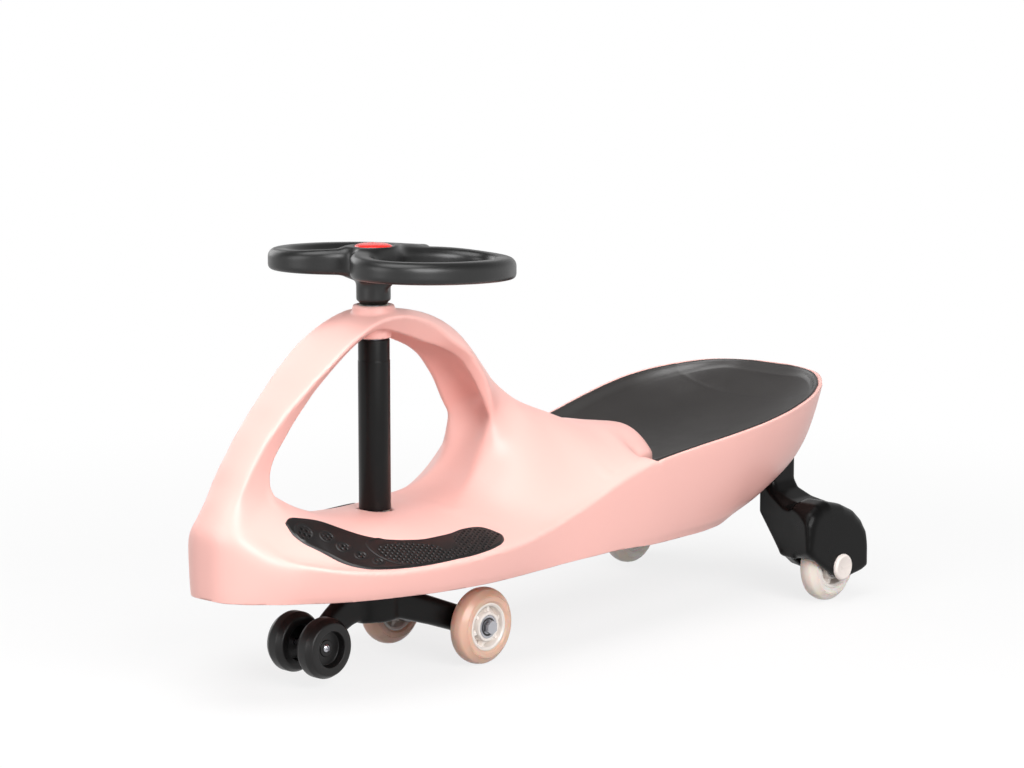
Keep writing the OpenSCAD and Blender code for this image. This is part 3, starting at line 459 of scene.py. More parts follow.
slotOf = {"pinkPlastic": "pink_plastic", "seatPlastic": "seat_black", "padRubber": "pad_black",
          "blackPlastic": "black_plastic", "casterRubber": "caster_black", "redPlastic": "red_plastic",
          "frontTreadPinkBounce": "tread", "rearTread": "tread", "hubPlastic": "hub_plastic",
          "creamPlastic": "cream_plastic", "bushPlastic": "bush_plastic", "zincSteel": "steel",
          "darkSeal": "black_plastic"}
finishOf = {slot: name for name, slot in slotOf.items() if name not in ("rearTread", "darkSeal")}
for part in frame["record"]["subparts"]:
    data = nodes[part["node"]].data
    for i in range(len(data.materials)):
        data.materials[i] = materials[finishOf[part["material_slot"]]]
print("materials:", len(materials))


def settle(obj, body, finish, *replaced):
    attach(obj, body)
    if replaced:
        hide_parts(*replaced)
    return obj


# the shell: its hull, the arch over the column and the tongue ahead of the seat
shell = {
    "cell": 0.002,        # grid of the field
    "band": 14,           # reach of the field, in cells
    "room": ((-0.142, -0.42, 0.06), (0.142, 0.42, 0.36)),
    "footDrop": 0.016,    # hull below its foot, cut away later
    "footInset": 0.001,
    "dishDrop": 0.0026,   # pink skin below the seat pan
    "dishStart": (0.012, 0.004),   # share ahead of the dish's first row and behind it
    "dishEdge": 0.06,     # share of the half-width over which the dish starts
    "rimRise": -0.0012,   # skin below the lip round the seat
    "rimEdge": 0.04,
    "archJoin": (0.010, 0.026),    # rounding where the arch runs into the hull, at the nose and elsewhere
    "archSoft": {"z": [(0.255, 0.215)], "y": [(-0.372, -0.345)]},
    "tongueJoin": (0.005, 0.026),  # at the tip of the tongue and at its root
    "tongueSoft": (0.637, 0.602),
    "collarRadius": 0.0198, "collarFoot": 0.326, "collarJoin": 0.003,
    "bossRadius": 0.0162, "bossGap": 0.0006, "bossJoin": 0.004, "postRound": 0.001,
    "boreRadius": (0.0145, 0.0159), "boreStep": 0.25,
    "wall": 0.003, "wallSteps": 8, "wallThin": 6.5, "wallRange": (0.19, 0.235),
}
# place, shoulder half-width and height, foot half-width and height, middle height, two roundnesses
hullShares = np.array([
    [0.0000, 0.108, 0.472, 0.100, 0.294, 0.476, 2, 1.0],
    [0.0037, 0.177, 0.472, 0.162, 0.291, 0.486, 2, 1.2],
    [0.0111, 0.254, 0.466, 0.231, 0.291, 0.512, 2, 1.4],
    [0.0210, 0.315, 0.454, 0.292, 0.289, 0.545, 2, 1.8],
    [0.0347, 0.400, 0.430, 0.354, 0.288, 0.582, 2, 2.6],
    [0.0520, 0.500, 0.406, 0.438, 0.286, 0.592, 2, 3.3],
    [0.0705, 0.592, 0.390, 0.508, 0.285, 0.580, 2, 3.6],
    [0.0953, 0.692, 0.376, 0.608, 0.283, 0.542, 2, 3.2],
    [0.1324, 0.792, 0.362, 0.723, 0.282, 0.494, 2, 2.2],
    [0.1757, 0.854, 0.352, 0.792, 0.279, 0.463, 2, 1.5],
    [0.2252, 0.892, 0.349, 0.835, 0.274, 0.451, 2, 1.15],
    [0.2748, 0.912, 0.350, 0.850, 0.270, 0.443, 2, 1.0],
    [0.3243, 0.912, 0.358, 0.846, 0.267, 0.446, 2, 1.1],
    [0.3614, 0.892, 0.363, 0.838, 0.267, 0.460, 2, 1.4],
    [0.3923, 0.869, 0.374, 0.831, 0.268, 0.500, 2, 1.9],
    [0.4171, 0.846, 0.382, 0.823, 0.268, 0.581, 2, 2.2],
    [0.4356, 0.835, 0.391, 0.815, 0.269, 0.660, 2, 2.3],
    [0.4542, 0.823, 0.401, 0.811, 0.269, 0.698, 2, 2.2],
    [0.4752, 0.815, 0.413, 0.804, 0.269, 0.694, 2, 2.0],
    [0.5000, 0.808, 0.430, 0.796, 0.268, 0.668, 2, 1.8],
    [0.5272, 0.808, 0.451, 0.785, 0.268, 0.646, 2, 1.6],
    [0.5594, 0.808, 0.474, 0.769, 0.265, 0.618, 2, 1.5],
    [0.5891, 0.819, 0.494, 0.754, 0.260, 0.585, 2, 1.5],
    [0.6151, 0.831, 0.506, 0.742, 0.256, 0.465, 3, 1.0],
    [0.6460, 0.842, 0.516, 0.723, 0.254, 0.448, 3, 1.0],
    [0.6832, 0.866, 0.528, 0.700, 0.253, 0.442, 3, 1.0],
    [0.7203, 0.900, 0.540, 0.669, 0.251, 0.445, 3, 1.0],
    [0.7574, 0.938, 0.554, 0.638, 0.254, 0.453, 3, 1.0],
    [0.7946, 0.967, 0.569, 0.619, 0.279, 0.465, 3, 1.0],
    [0.8317, 0.977, 0.586, 0.622, 0.308, 0.480, 3, 1.0],
    [0.8688, 0.956, 0.604, 0.612, 0.344, 0.500, 3, 1.0],
    [0.8998, 0.905, 0.618, 0.590, 0.376, 0.523, 3, 1.0],
    [0.9307, 0.814, 0.631, 0.533, 0.404, 0.552, 3, 1.0],
    [0.9554, 0.702, 0.640, 0.460, 0.430, 0.584, 3, 1.0],
    [0.9765, 0.564, 0.647, 0.365, 0.462, 0.614, 3, 1.0],
    [0.9901, 0.402, 0.650, 0.256, 0.505, 0.632, 3, 1.0],
    [1.0000, 0.150, 0.652, 0.088, 0.600, 0.646, 3, 1.0]])
dishRow = 23
sideSwell = 0.62
# arch: outer place and height, inner place and height, outer and inner half-width, fall to its outer edges
archShares = np.array([
    [0.0050, 0.430, 0.0891, 0.401, 0.254, 0.238, 0.08],
    [0.0088, 0.503, 0.0842, 0.456, 0.206, 0.212, 0.05],
    [0.0179, 0.544, 0.0792, 0.500, 0.183, 0.185, 0.04],
    [0.0291, 0.578, 0.0761, 0.535, 0.169, 0.158, 0.04],
    [0.0402, 0.621, 0.0761, 0.571, 0.165, 0.138, 0.06],
    [0.0538, 0.660, 0.0817, 0.609, 0.167, 0.127, 0.05],
    [0.0675, 0.699, 0.0928, 0.647, 0.172, 0.119, 0.03],
    [0.0835, 0.734, 0.1077, 0.682, 0.182, 0.119, 0.01],
    [0.0996, 0.772, 0.1225, 0.718, 0.195, 0.123, 0.02],
    [0.1170, 0.804, 0.1374, 0.749, 0.212, 0.131, 0.00],
    [0.1343, 0.839, 0.1528, 0.781, 0.229, 0.142, 0.00],
    [0.1535, 0.872, 0.1696, 0.812, 0.246, 0.158, 0.00],
    [0.1714, 0.903, 0.1856, 0.840, 0.258, 0.173, 0.00],
    [0.1943, 0.935, 0.2048, 0.872, 0.256, 0.185, 0.00],
    [0.2191, 0.962, 0.2259, 0.898, 0.251, 0.186, 0.00],
    [0.2450, 0.980, 0.2469, 0.913, 0.255, 0.186, 0.02],
    [0.2698, 0.987, 0.2661, 0.916, 0.277, 0.188, 0.06],
    [0.2983, 0.983, 0.2896, 0.910, 0.298, 0.195, 0.22],
    [0.3280, 0.970, 0.3156, 0.895, 0.312, 0.205, 0.40],
    [0.3533, 0.950, 0.3385, 0.878, 0.316, 0.214, 0.63],
    [0.3744, 0.923, 0.3583, 0.856, 0.313, 0.216, 0.68],
    [0.3929, 0.886, 0.3731, 0.830, 0.305, 0.215, 0.68],
    [0.4103, 0.844, 0.3855, 0.792, 0.297, 0.213, 0.68],
    [0.4301, 0.796, 0.3973, 0.750, 0.288, 0.211, 0.72],
    [0.4493, 0.753, 0.4059, 0.698, 0.277, 0.208, 0.80],
    [0.4740, 0.712, 0.4103, 0.645, 0.269, 0.202, 0.88],
    [0.4988, 0.676, 0.4078, 0.599, 0.258, 0.192, 0.85],
    [0.5272, 0.648, 0.3985, 0.552, 0.242, 0.188, 0.80],
    [0.5545, 0.616, 0.3837, 0.509, 0.223, 0.208, 0.75],
    [0.5668, 0.570, 0.3639, 0.468, 0.231, 0.262, 0.70],
    [0.5668, 0.500, 0.3391, 0.436, 0.262, 0.338, 0.70]])


class Hull:
    # every measure of the hull, as smooth curves along its length
    def __init__(self, rows, places):
        self.places = places
        self.columns = []
        for c in range(1, 8):
            self.columns.append(evened(throughPoints(rows[:, 0], rows[:, c], places), 3))
        (self.shoulder, self.shoulderZ, self.foot, self.footZ,
         self.middleZ, self.power, self.fall) = self.columns

    def at(self, share):
        return [np.interp(share, self.places, column) for column in self.columns]


def crown(shoulderZ, middleZ, power, fall, t):
    rise = np.clip(1 - np.abs(t) ** power, 0, 1) ** fall
    return high(shoulderZ + (middleZ - shoulderZ) * rise)


hullPlaces = np.unique(np.concatenate([np.linspace(0, 0.06, 30), np.linspace(0.06, 0.94, 200),
                                       np.linspace(0.94, 1, 30)]))
hull = Hull(hullShares, hullPlaces)


def hullRings(footDrop):
    sides = np.linspace(0, 1, 12)
    across = 1 - np.linspace(0, 1, 40)[1:] ** 1.4
    front = hullShares[dishRow, 0]
    ahead, behind = shell["dishStart"]
    rings = []
    for i, s in enumerate(hull.places):
        w, zs, wf, zf, zm, power, fall = [c[i] for c in hull.columns]
        drop = shell["dishDrop"] * float(smoothStep(front - ahead, front + behind, s))
        rise = shell["rimRise"] * drop / shell["dishDrop"]
        half = [(wide(wf) - shell["footInset"], high(zf) - footDrop)]
        for u in sides:
            half.append((wide(wf + (w - wf) * u ** sideSwell), high(zf + (zs - zf) * u) + rise * u))
        for t in across:
            inner = (drop * float(smoothStep(0, shell["dishEdge"], 1 - t))
                     - rise * float(smoothStep(shell["rimEdge"], 0, 1 - t)))
            half.append((wide(w) * t, float(crown(zs, zm, power, fall, t)) - inner))
        ring = [(-x, along(s), z) for x, z in half] + [(x, along(s), z) for x, z in half[-2::-1]]
        rings.append(ring)
    return rings


# by row of the arch: the hollow of its under face as a share of its depth, and how far that face is lifted
archLook = {"steps": 6, "evening": 4, "crown": 0.0016, "edge": 0.0045,
            "hollow": {0: 0.05, 6: 0.08, 13: 0.12, 16: 0.3, 18: 0.58, 24: 0.6, 27: 0.4, 30: 0.0},
            "lift": {0: 0.0, 5: 0.0, 8: 0.004, 10: 0.008, 13: 0.012, 14.5: 0.0115, 16: 0.005, 17: 0.0,
                     18: -0.003, 20: -0.003, 22: -0.002, 25: 0.0, 30: 0.0}}


def archRings():
    count = len(archShares)
    turns = np.linspace(0, count - 1, (count - 1) * archLook["steps"] + 1)
    rows = np.arange(count)
    columns = [evened(throughPoints(rows, archShares[:, c], turns), archLook["evening"]) for c in range(7)]
    hollow, lift = (throughPoints(list(archLook[k]), list(archLook[k].values()), turns)
                    for k in ("hollow", "lift"))
    rings = []
    for i in range(len(turns)):
        oy, oz, qy, qz, wo, wi, fall = [c[i] for c in columns]
        outer = np.array([along(oy), high(oz)])
        inner = np.array([along(qy), high(qz)])
        span = np.linalg.norm(outer - inner)
        way = (outer - inner) / span
        inner, span = inner + way * lift[i], span - lift[i]
        wo, wi = wide(wo), wide(wi)
        edge = max(span * (1 - fall) - archLook["crown"], archLook["edge"])
        ring = [(t * wo, span - (span - edge) * t * t) for t in np.linspace(-1, 1, 25)]
        ring += [(wo + (wi - wo) * t, edge * (1 - t)) for t in np.linspace(0, 1, 9)[1:-1]]
        ring += [(t * wi, hollow[i] * span * (1 - t * t)) for t in np.linspace(1, -1, 25)]
        ring += [(-(wo + (wi - wo) * t), edge * (1 - t)) for t in np.linspace(1, 0, 9)[1:-1]]
        rings.append([(x, *(inner + way * u)) for x, u in ring])
    return rings


tongue = {"half": 0.068, "drop": 0.024, "flare": 0.006, "widest": 0.70, "bend": 0.6213, "tip": 0.6857,
          "power": 3.2, "start": 0.55, "tipStart": 0.66, "tipRun": 0.0257, "rimLift": 0.002,
          "rootSink": 0.012, "footShare": 0.42, "footSink": 0.004,
          # shares over which the tongue runs into the hull behind it
          "dropRange": (0.6313, 0.60), "sinkRange": (0.602, 0.562), "footRange": (0.6253, 0.605),
          "rootRange": (0.6213, 0.597)}
tongueRidge = np.array([[0.5400, 0.610], [0.5594, 0.610], [0.5750, 0.607], [0.5891, 0.599], [0.6213, 0.582],
                        [0.6500, 0.569], [0.6857, 0.557]])


def tongueHalf(s):
    if s < tongue["bend"]:
        back = along(tongue["bend"]) - along(s)
        return min(tongue["half"] + back ** 2 / (2 * tongue["flare"]), bodyHalf * tongue["widest"])
    t = (s - tongue["bend"]) / (tongue["tip"] - tongue["bend"])
    return tongue["half"] * max(0, 1 - t ** tongue["power"]) ** (1 / tongue["power"])


def tongueRings():
    toTip = 1 - np.linspace(0, 1, 30)[1:-1]
    places = np.concatenate([np.linspace(tongue["start"], tongue["tipStart"], 40),
                             tongue["tip"] - tongue["tipRun"] * toTip ** 2])
    lift, deep = tongue["rimLift"], high(tongue["footShare"])
    rings = []
    for s in places:
        w = tongueHalf(s)
        ridge = high(float(throughPoints(tongueRidge[:, 0], tongueRidge[:, 1], [s])[0]))
        rim = high(float(np.interp(s, hull.places, hull.shoulderZ))) + lift
        half = wide(float(np.interp(s, hull.places, hull.shoulder)))
        dropped, sunk, footed, root = (float(smoothStep(*tongue[k + "Range"], s))
                                       for k in ("drop", "sink", "foot", "root"))
        drop = tongue["drop"] + (ridge - rim - tongue["drop"]) * dropped
        ridge -= tongue["rootSink"] * sunk
        foot = deep + (rim - tongue["footSink"] - deep) * footed
        top = []
        for t in np.linspace(-1, 1, 41):
            slope = rim - lift + (ridge - rim + lift) * max(0, 1 - (w * t / half) ** 2) ** 1.5
            top.append((w * t, along(s), (ridge - drop * abs(t) ** 3) * (1 - root) + slope * root))
        rings.append([(-w, along(s), foot)] + top + [(w, along(s), foot)])
    return rings


# parts of the shell that are smoothed once more: ranges over which each fades in
smoothZones = {
    "nose": {"x": [], "y": [(-0.335, -0.375)], "z": [(0.205, 0.180)]},
    "leg": {"x": [(0.10, 0.08)], "y": [(-0.165, -0.135), (0.0, -0.04)],
            "z": [(0.145, 0.160), (0.255, 0.215)]},
    "slope": {"x": [(0.100, 0.088)], "y": [(along(0.53), along(0.56)), (along(0.645), along(0.625))],
              "z": [(0.14, 0.16)]}}
smoothRounds = 24


def cutFoot(obj):
    # the foot is cut along its own curve
    def footAt(y):
        return float(high(np.interp((y - shellLow.y) / bodyLength, hull.places, hull.footZ)))

    work = bmesh.new()
    work.from_mesh(obj.data)
    for vert in work.verts:
        vert.co.z -= footAt(vert.co.y)
    bmesh.ops.bisect_plane(work, geom=work.verts[:] + work.edges[:] + work.faces[:], plane_co=(0, 0, 0),
                           plane_no=(0, 0, 1), clear_inner=True)
    for vert in work.verts:
        vert.co.z += footAt(vert.co.y)
    work.to_mesh(obj.data)
    work.free()


def addWall(obj):
    # the wall is thin in the arch, which has two faces of its own
    heights = np.array([v.co.z for v in obj.data.vertices])
    group = obj.vertex_groups.new(name="wallShare")
    steps = shell["wallSteps"]
    level = np.round(steps - shell["wallThin"] * smoothStep(*shell["wallRange"], heights)).astype(int)
    for k in np.unique(level):
        group.add([int(i) for i in np.nonzero(level == k)[0]], k / steps, "REPLACE")
    skin = obj.modifiers.new("wall", "SOLIDIFY")
    skin.thickness = shell["wall"]
    skin.offset = -1
    skin.vertex_group = group.name


def buildShell():
    field = Field(*shell["room"], shell["cell"])
    x, y, z = field.mesh()
    hullField, archField, tongueField = (
        field.fromMesh(*lofted(rings), shell["band"])
        for rings in (hullRings(shell["footDrop"]), archRings(), tongueRings()))
    tight, broad = shell["archJoin"]
    soft = fades((z, shell["archSoft"]["z"]), (y, shell["archSoft"]["y"]))
    whole = softUnion(hullField, archField, tight + (broad - tight) * soft)
    tight, broad = shell["tongueJoin"]
    soft = smoothStep(*(along(share) for share in shell["tongueSoft"]), y)
    whole = softUnion(whole, tongueField, tight + (broad - tight) * soft)
    whole = blurred(whole, 1)
    for zone in smoothZones.values():
        weight = fades((y, zone["y"]), (z, zone["z"]), (np.abs(x), zone["x"]))
        whole = blendedZone(whole, weight, smoothRounds)
    # the collar on the arch, and the boss that holds the column's upper bush
    out = np.hypot(x, y - columnY)
    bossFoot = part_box("column_sleeve")[1].z + shell["bossGap"]
    for part, foot in (("collar", shell["collarFoot"]), ("boss", bossFoot)):
        post = postField(out, z, shell[part + "Radius"], foot, bodyHeight, shell["postRound"])
        whole = plainUnion(whole, post, shell[part + "Join"])
    bore = shell["boreRadius"]
    whole = np.maximum(whole, np.where(z > shell["boreStep"], bore[0], bore[1]) - out)
    points, quads = surfaceOf(field, whole, 8)
    obj = meshObject("bodyShell", points, quads, materials["pinkPlastic"], turned=True)
    cutFoot(obj)
    addWall(obj)
    return obj


bodyShell = settle(buildShell(), "body", "pinkPlastic", "body_shell")
print("shell:", len(bodyShell.data.polygons), "faces")


# the seat pan
seat = {"inset": 0.0030, "front": 0.606, "rows": 150, "columns": 121, "crowding": (1.7, 1.6),
        "lipShare": 0.7, "lipRange": (0.003, 0.011), "edgeDrop": 0.0018, "edgeWidth": 0.0022,
        "bead": 0.0010, "beadWidth": 0.006, "beadFall": 0.002,
        "step": 0.0012, "stepRange": (0.010, 0.03), "thick": 0.0016}


def buildSeat():
    u = np.linspace(0, 1, seat["rows"])
    first, last = along(seat["front"]), along(1) - seat["inset"]
    places = first + (last - first) * (1 - (1 - u) ** seat["crowding"][0])
    v = np.linspace(-1, 1, seat["columns"])
    across = np.sign(v) * (1 - (1 - np.abs(v)) ** seat["crowding"][1])
    points = np.zeros((len(places), len(across), 3))
    for i, place in enumerate(places):
        s = (place - shellLow.y) / bodyLength
        half, zs, _, _, zm, power, fall = hull.at(s)
        # the plan of the shell's rim, set in at the sides and the tail
        plan = seat["front"] + (1 - seat["front"]) * (place - first) / (last - first)
        side = wide(float(np.interp(plan, hull.places, hull.shoulder))) - seat["inset"]
        x = side * across
        z = crown(zs, zm, power, fall, x / wide(half))
        # how far in from the rim, rounded where the side meets the tail
        aside, behind = np.maximum(side - np.abs(x), 1e-6), max(last - place, 1e-6)
        edge = (aside ** -2 + behind ** -2) ** -0.5
        # the flat lip before the dish starts
        z = z + seat["lipShare"] * np.maximum(high(zs) - z, 0) * (1 - smoothStep(*seat["lipRange"], edge))
        inside = smoothStep(seat["beadWidth"], seat["beadWidth"] + seat["beadFall"], edge)
        outside = 1 - smoothStep(0, seat["edgeWidth"], edge)
        lift = (seat["bead"] - (seat["bead"] + seat["edgeDrop"]) * outside
                - (seat["bead"] + seat["step"]) * inside
                + seat["step"] * smoothStep(*seat["stepRange"], edge))
        points[i] = np.stack([x, np.full_like(x, place), z + lift], axis=1)
    faces = gridFaces(np.arange(len(places) * len(across)).reshape(len(places), -1))
    obj = meshObject("seatPan", points.reshape(-1, 3), faces, materials["seatPlastic"])
    skin = obj.modifiers.new("thickness", "SOLIDIFY")
    skin.thickness = seat["thick"]
    skin.offset = -1
    return obj


settle(buildSeat(), "body", "seatPlastic", "seat_pan")


# the lip of the shell round the pan: depth below the rim and how far out
rimSection = [(0.0240, -0.0012), (0.0170, -0.0003), (0.0090, 0.0001), (0.0030, 0.0001), (0.0018, -0.0001),
              (0.0011, -0.0006), (0.0008, -0.0014), (0.0010, -0.0030), (0.0040, -0.0050)]
rim = {"front": 0.600, "tail": 0.97, "sunk": 0.006, "sunkRange": (0.590, 0.620), "tailPoints": 12,
       "evening": 5}


def buildRim():
    toTail = 1 - np.linspace(0, 1, 50)[1:]
    share = np.concatenate([np.linspace(rim["front"], rim["tail"], 160), 1 - (1 - rim["tail"]) * toTail ** 2])
    w, zs, wf, zf = hull.at(share)[:4]
    # the front ends dive below the shell's skin
    sunk = rim["sunk"] * (1 - smoothStep(*rim["sunkRange"], share))
    half = np.stack([wide(w), along(share), high(zs), wide(w - wf), high(zs - zf), sunk], axis=1)
    tail = np.repeat(half[-1:], rim["tailPoints"], axis=0)
    tail[:, 0] *= np.linspace(1, -1, rim["tailPoints"] + 2)[1:-1]
    path = np.concatenate([half, tail, half[::-1] * (-1, 1, 1, 1, 1, 1)])
    ahead = np.gradient(path[:, :2], axis=0)
    ahead /= np.linalg.norm(ahead, axis=1)[:, None] + 1e-9
    ahead = np.stack([evened(ahead[:, k], rim["evening"]) for k in (0, 1)], axis=1)
    outward = np.stack([ahead[:, 1], -ahead[:, 0]], axis=1) / np.linalg.norm(ahead, axis=1)[:, None]
    rings = np.zeros((len(path), len(rimSection), 3))
    for k, (depth, out) in enumerate(rimSection):
        lean = path[:, 3] * (1 - (1 - depth / path[:, 4]) ** sideSwell) * np.abs(outward[:, 0])
        rings[:, k, :2] = path[:, :2] + outward * (out - lean - path[:, 5])[:, None]
        rings[:, k, 2] = path[:, 2] - depth - path[:, 5]
    points, quads, ends = lofted(rings)
    return meshObject("shellRim", points, list(quads) + list(ends), materials["pinkPlastic"], angle=50)


settle(buildRim(), "body", "pinkPlastic")
print("seat pan done")


# the foot pads: a mat that follows the deck, with a footprint of toes and dots
padShares = np.array([
    [0.3465, 0.748, 0.770], [0.3441, 0.715, 0.800], [0.3391, 0.664, 0.824], [0.3267, 0.618, 0.860],
    [0.3045, 0.604, 0.880], [0.2772, 0.622, 0.884], [0.2438, 0.615, 0.872], [0.2178, 0.574, 0.857],
    [0.1955, 0.518, 0.838], [0.1770, 0.446, 0.814], [0.1597, 0.348, 0.785], [0.1399, 0.254, 0.744],
    [0.1287, 0.235, 0.692], [0.1188, 0.231, 0.612], [0.1089, 0.231, 0.490], [0.1002, 0.229, 0.425],
    [0.0928, 0.230, 0.385], [0.0862, 0.240, 0.338], [0.0820, 0.262, 0.302]])
pad = {"thick": 0.0014, "cell": 0.0006, "lip": 0.0003, "lipRange": (0.0022, 0.0034), "edge": 0.0032,
       "dotPitch": 0.0042, "dotRadius": 0.0017, "dotFlat": 0.55, "dotDepth": 0.0008, "toeDotShare": 0.8,
       "pitShadeShare": 0.35, "line": 0.0007, "lineRise": 0.0005, "evening": 40, "sink": 0.001,
       "probe": 0.03, "probeStep": 4}
# the footprint: an oval has its middle and half size from the heel, then across
padPrint = {"heel": (0.15, 0.145, 0.50, 0.44), "heelEdge": 0.86,
            "ball": (0.52, 0.155, 0.56, 0.40), "ballEdge": 0.88,
            "bandAcross": [(0.58, 0.64), (0.97, 0.92)], "bandAlong": [(0.1, 0.16), (0.6, 0.54)],
            "arc": (0.40, 0.29, 0.50, 0.62), "arcScale": 0.05, "arcRange": (0.55, 0.6)}
# its toes: place from the heel and across from the inner edge, as shares, and half sizes
padToes = [(0.93, 0.50, 0.0088, 0.0062), (0.835, 0.36, 0.0068, 0.0050), (0.80, 0.52, 0.0062, 0.0046),
           (0.76, 0.66, 0.0058, 0.0043), (0.715, 0.79, 0.0052, 0.0040)]


def ovalAway(oval, a, b):
    # distance from the middle of an oval, one on its edge
    return np.hypot((a - oval[0]) / oval[1], (b - oval[2]) / oval[3])


def padRelief(a, b, x, y, edge, toes):
    # height of the mat's face at a share a from the heel and b across, and its pits
    pitch, line, rise = pad["dotPitch"], pad["line"], pad["lineRise"]
    lift = pad["lip"] * (1 - smoothStep(*pad["lipRange"], edge))
    row = np.round(y / pitch)
    shift = np.where(row.astype(int) % 2 == 0, 0, pitch / 2)
    dx = (x + shift + pitch / 2) % pitch - pitch / 2
    dy = y - row * pitch
    dot = 1 - smoothStep(pad["dotRadius"] * pad["dotFlat"], pad["dotRadius"], np.hypot(dx, dy))
    heel = smoothStep(1, padPrint["heelEdge"], ovalAway(padPrint["heel"], a, b))
    ball = smoothStep(1, padPrint["ballEdge"], ovalAway(padPrint["ball"], a, b))
    band = fades((b, padPrint["bandAcross"]), (a, padPrint["bandAlong"]))
    pits = dot * (np.maximum(np.maximum(heel, ball), band) > 0.5)
    lift = lift - pad["dotDepth"] * pits
    arc = np.abs(ovalAway(padPrint["arc"], a, b) - 1) * padPrint["arcScale"]
    lift = lift + rise * smoothStep(line * 1.6, line * 0.6, arc) * smoothStep(*padPrint["arcRange"], a)
    for tx, ty, ra, rb in toes:
        away = np.hypot((x - tx) / rb, (y - ty) / ra)
        lift = lift + rise * smoothStep(line * 1.5, line * 0.5, np.abs(away - 1) * rb)
        dents = dot * (away < pad["toeDotShare"])
        lift, pits = lift - pad["dotDepth"] * pad["toeDotShare"] * dents, pits + dents
    return lift, pits


def deckAt(x, y):
    w, zs, _, _, zm, power, fall = hull.at((y - shellLow.y) / bodyLength)
    return float(crown(zs, zm, power, fall, min(1, abs(x) / wide(w))))


def deckUnder(ground, x, y):
    # heights of the shell below a grid, from probes at every few points
    step, probe = pad["probeStep"], pad["probe"]
    rows = list(range(0, x.shape[0], step))
    columns = sorted({*range(0, x.shape[1], step), x.shape[1] - 1})
    heights = np.zeros((len(rows), len(columns)))
    for i, row in enumerate(rows):
        for j, column in enumerate(columns):
            px, py = x[row, column], y[row, column]
            start = Vector((px, py, deckAt(px, py) + probe))
            hit = ground.ray_cast(start, Vector((0, 0, -1)))[0]
            heights[i, j] = hit.z if hit else start.z - probe
    for _ in range(3):
        heights[1:-1] = (heights[:-2] + 2 * heights[1:-1] + heights[2:]) / 4
        heights[:, 1:-1] = (heights[:, :-2] + 2 * heights[:, 1:-1] + heights[:, 2:]) / 4
    fine = np.array([np.interp(np.arange(x.shape[1]), columns, line) for line in heights])
    return np.array([np.interp(np.arange(x.shape[0]), rows, line) for line in fine.T]).T


def buildPad(name, side, ground):
    first, last = padShares[0, 0], padShares[-1, 0]
    s = np.linspace(first, last, int(abs(first - last) * bodyLength / pad["cell"]))
    inner, outer = (wide(evened(throughPoints(-padShares[:, 0], padShares[:, c], -s), pad["evening"]))
                    for c in (1, 2))
    y = along(s)
    count = int((outer - inner).max() / pad["cell"])
    fromHeel, across = np.meshgrid(np.linspace(0, 1, len(s)), np.linspace(0, 1, count), indexing="ij")
    gridX = inner[:, None] + (outer - inner)[:, None] * across
    gridY = np.repeat(y[:, None], count, axis=1)
    # distance to the mat's outline
    ends = [np.stack([np.linspace(outer[k], inner[k], 30), np.full(30, y[k])], 1) for k in (0, -1)]
    edge = np.full(gridX.shape, 1.0)
    for px, py in np.concatenate([np.stack([inner, y], 1), np.stack([outer, y], 1), *ends]):
        edge = np.minimum(edge, np.hypot(gridX - px, gridY - py))
    toes = []
    for ta, tb, ra, rb in padToes:
        i = int(ta * (len(s) - 1))
        toes.append((inner[i] + (outer[i] - inner[i]) * tb, y[i], ra, rb))
    lift, pits = padRelief(fromHeel, across, gridX, gridY, edge, toes)
    rounding = pad["edge"]
    fall = rounding - np.sqrt(np.clip(rounding ** 2 - np.clip(rounding - edge, 0, None) ** 2, 0, None))
    rise = pad["thick"] + lift - fall
    points = np.stack([side * gridX, gridY, deckUnder(ground, gridX, gridY) + rise], axis=-1)
    under = points.copy()
    under[..., 2] -= rise + pad["sink"]
    index = np.arange(points[..., 0].size).reshape(-1, count)
    loop = np.concatenate([index[0, :], index[1:, -1], index[-1, -2::-1], index[-2:0:-1, 0]])
    low = under.reshape(-1, 3)[loop]
    turn = np.roll(np.arange(len(loop)), -1)
    skirt = np.stack([loop, loop[turn], index.size + turn, index.size + np.arange(len(loop))], axis=1)
    obj = meshObject(name, np.vstack([points.reshape(-1, 3), low]), np.vstack([gridFaces(index), skirt]),
                     materials["padRubber"])
    # faces sunk deep in the dots get the dark, dull finish: painted shade in the pits
    obj.data.materials.append(materials["padPitPaintedShade"])
    deep = np.append(pits.reshape(-1), np.zeros(len(low))) > pad["pitShadeShare"]
    for face in obj.data.polygons:
        face.material_index = int(deep[list(face.vertices)].sum() > 2)
    return obj


def buildPads():
    work = bmesh.new()
    work.from_mesh(bodyShell.data)
    ground = BVHTree.FromBMesh(work)
    work.free()
    for hand, side in (("left", 1), ("right", -1)):
        settle(buildPad("footPad" + hand.capitalize(), side, ground), "body", "padRubber", "foot_pad_" + hand)


buildPads()
print("foot pads done")


# the steering wheel: two lobes that run into one hub
wheelLook = {"cell": 0.00125, "margin": 0.006, "tilt": 2.7,
             "lobeX": 0.0546, "lobeBack": 0.0240, "lobeW": 0.1246, "lobeL": 0.176, "lobeJoin": 0.010,
             "rimW": 0.022, "rimH": 0.020, "rimDrop": 0.005,
             "topRound": 0.008, "footRound": 0.0045, "roundRange": (-0.003, 0.003),
             "hubRadius": 0.0215, "hubRise": 0.0045, "hubReach": 0.038, "hubRound": 0.003, "hubJoin": 0.016,
             "bossRadius": 0.016, "bossFoot": 0.3478, "bossRound": 0.0012, "bossJoin": 0.006,
             "neckRadius": 0.0132, "neckRound": 0.0004, "capLip": 0.0022, "capGap": 0.0005,
             # the web under the hub: where its slanted foot starts, out and down, and how it leans
             "webStart": (0.016, 0.014), "webLean": (0.62, 0.78), "webReach": 0.034, "webThick": 0.0045,
             "webJoin": 0.003}


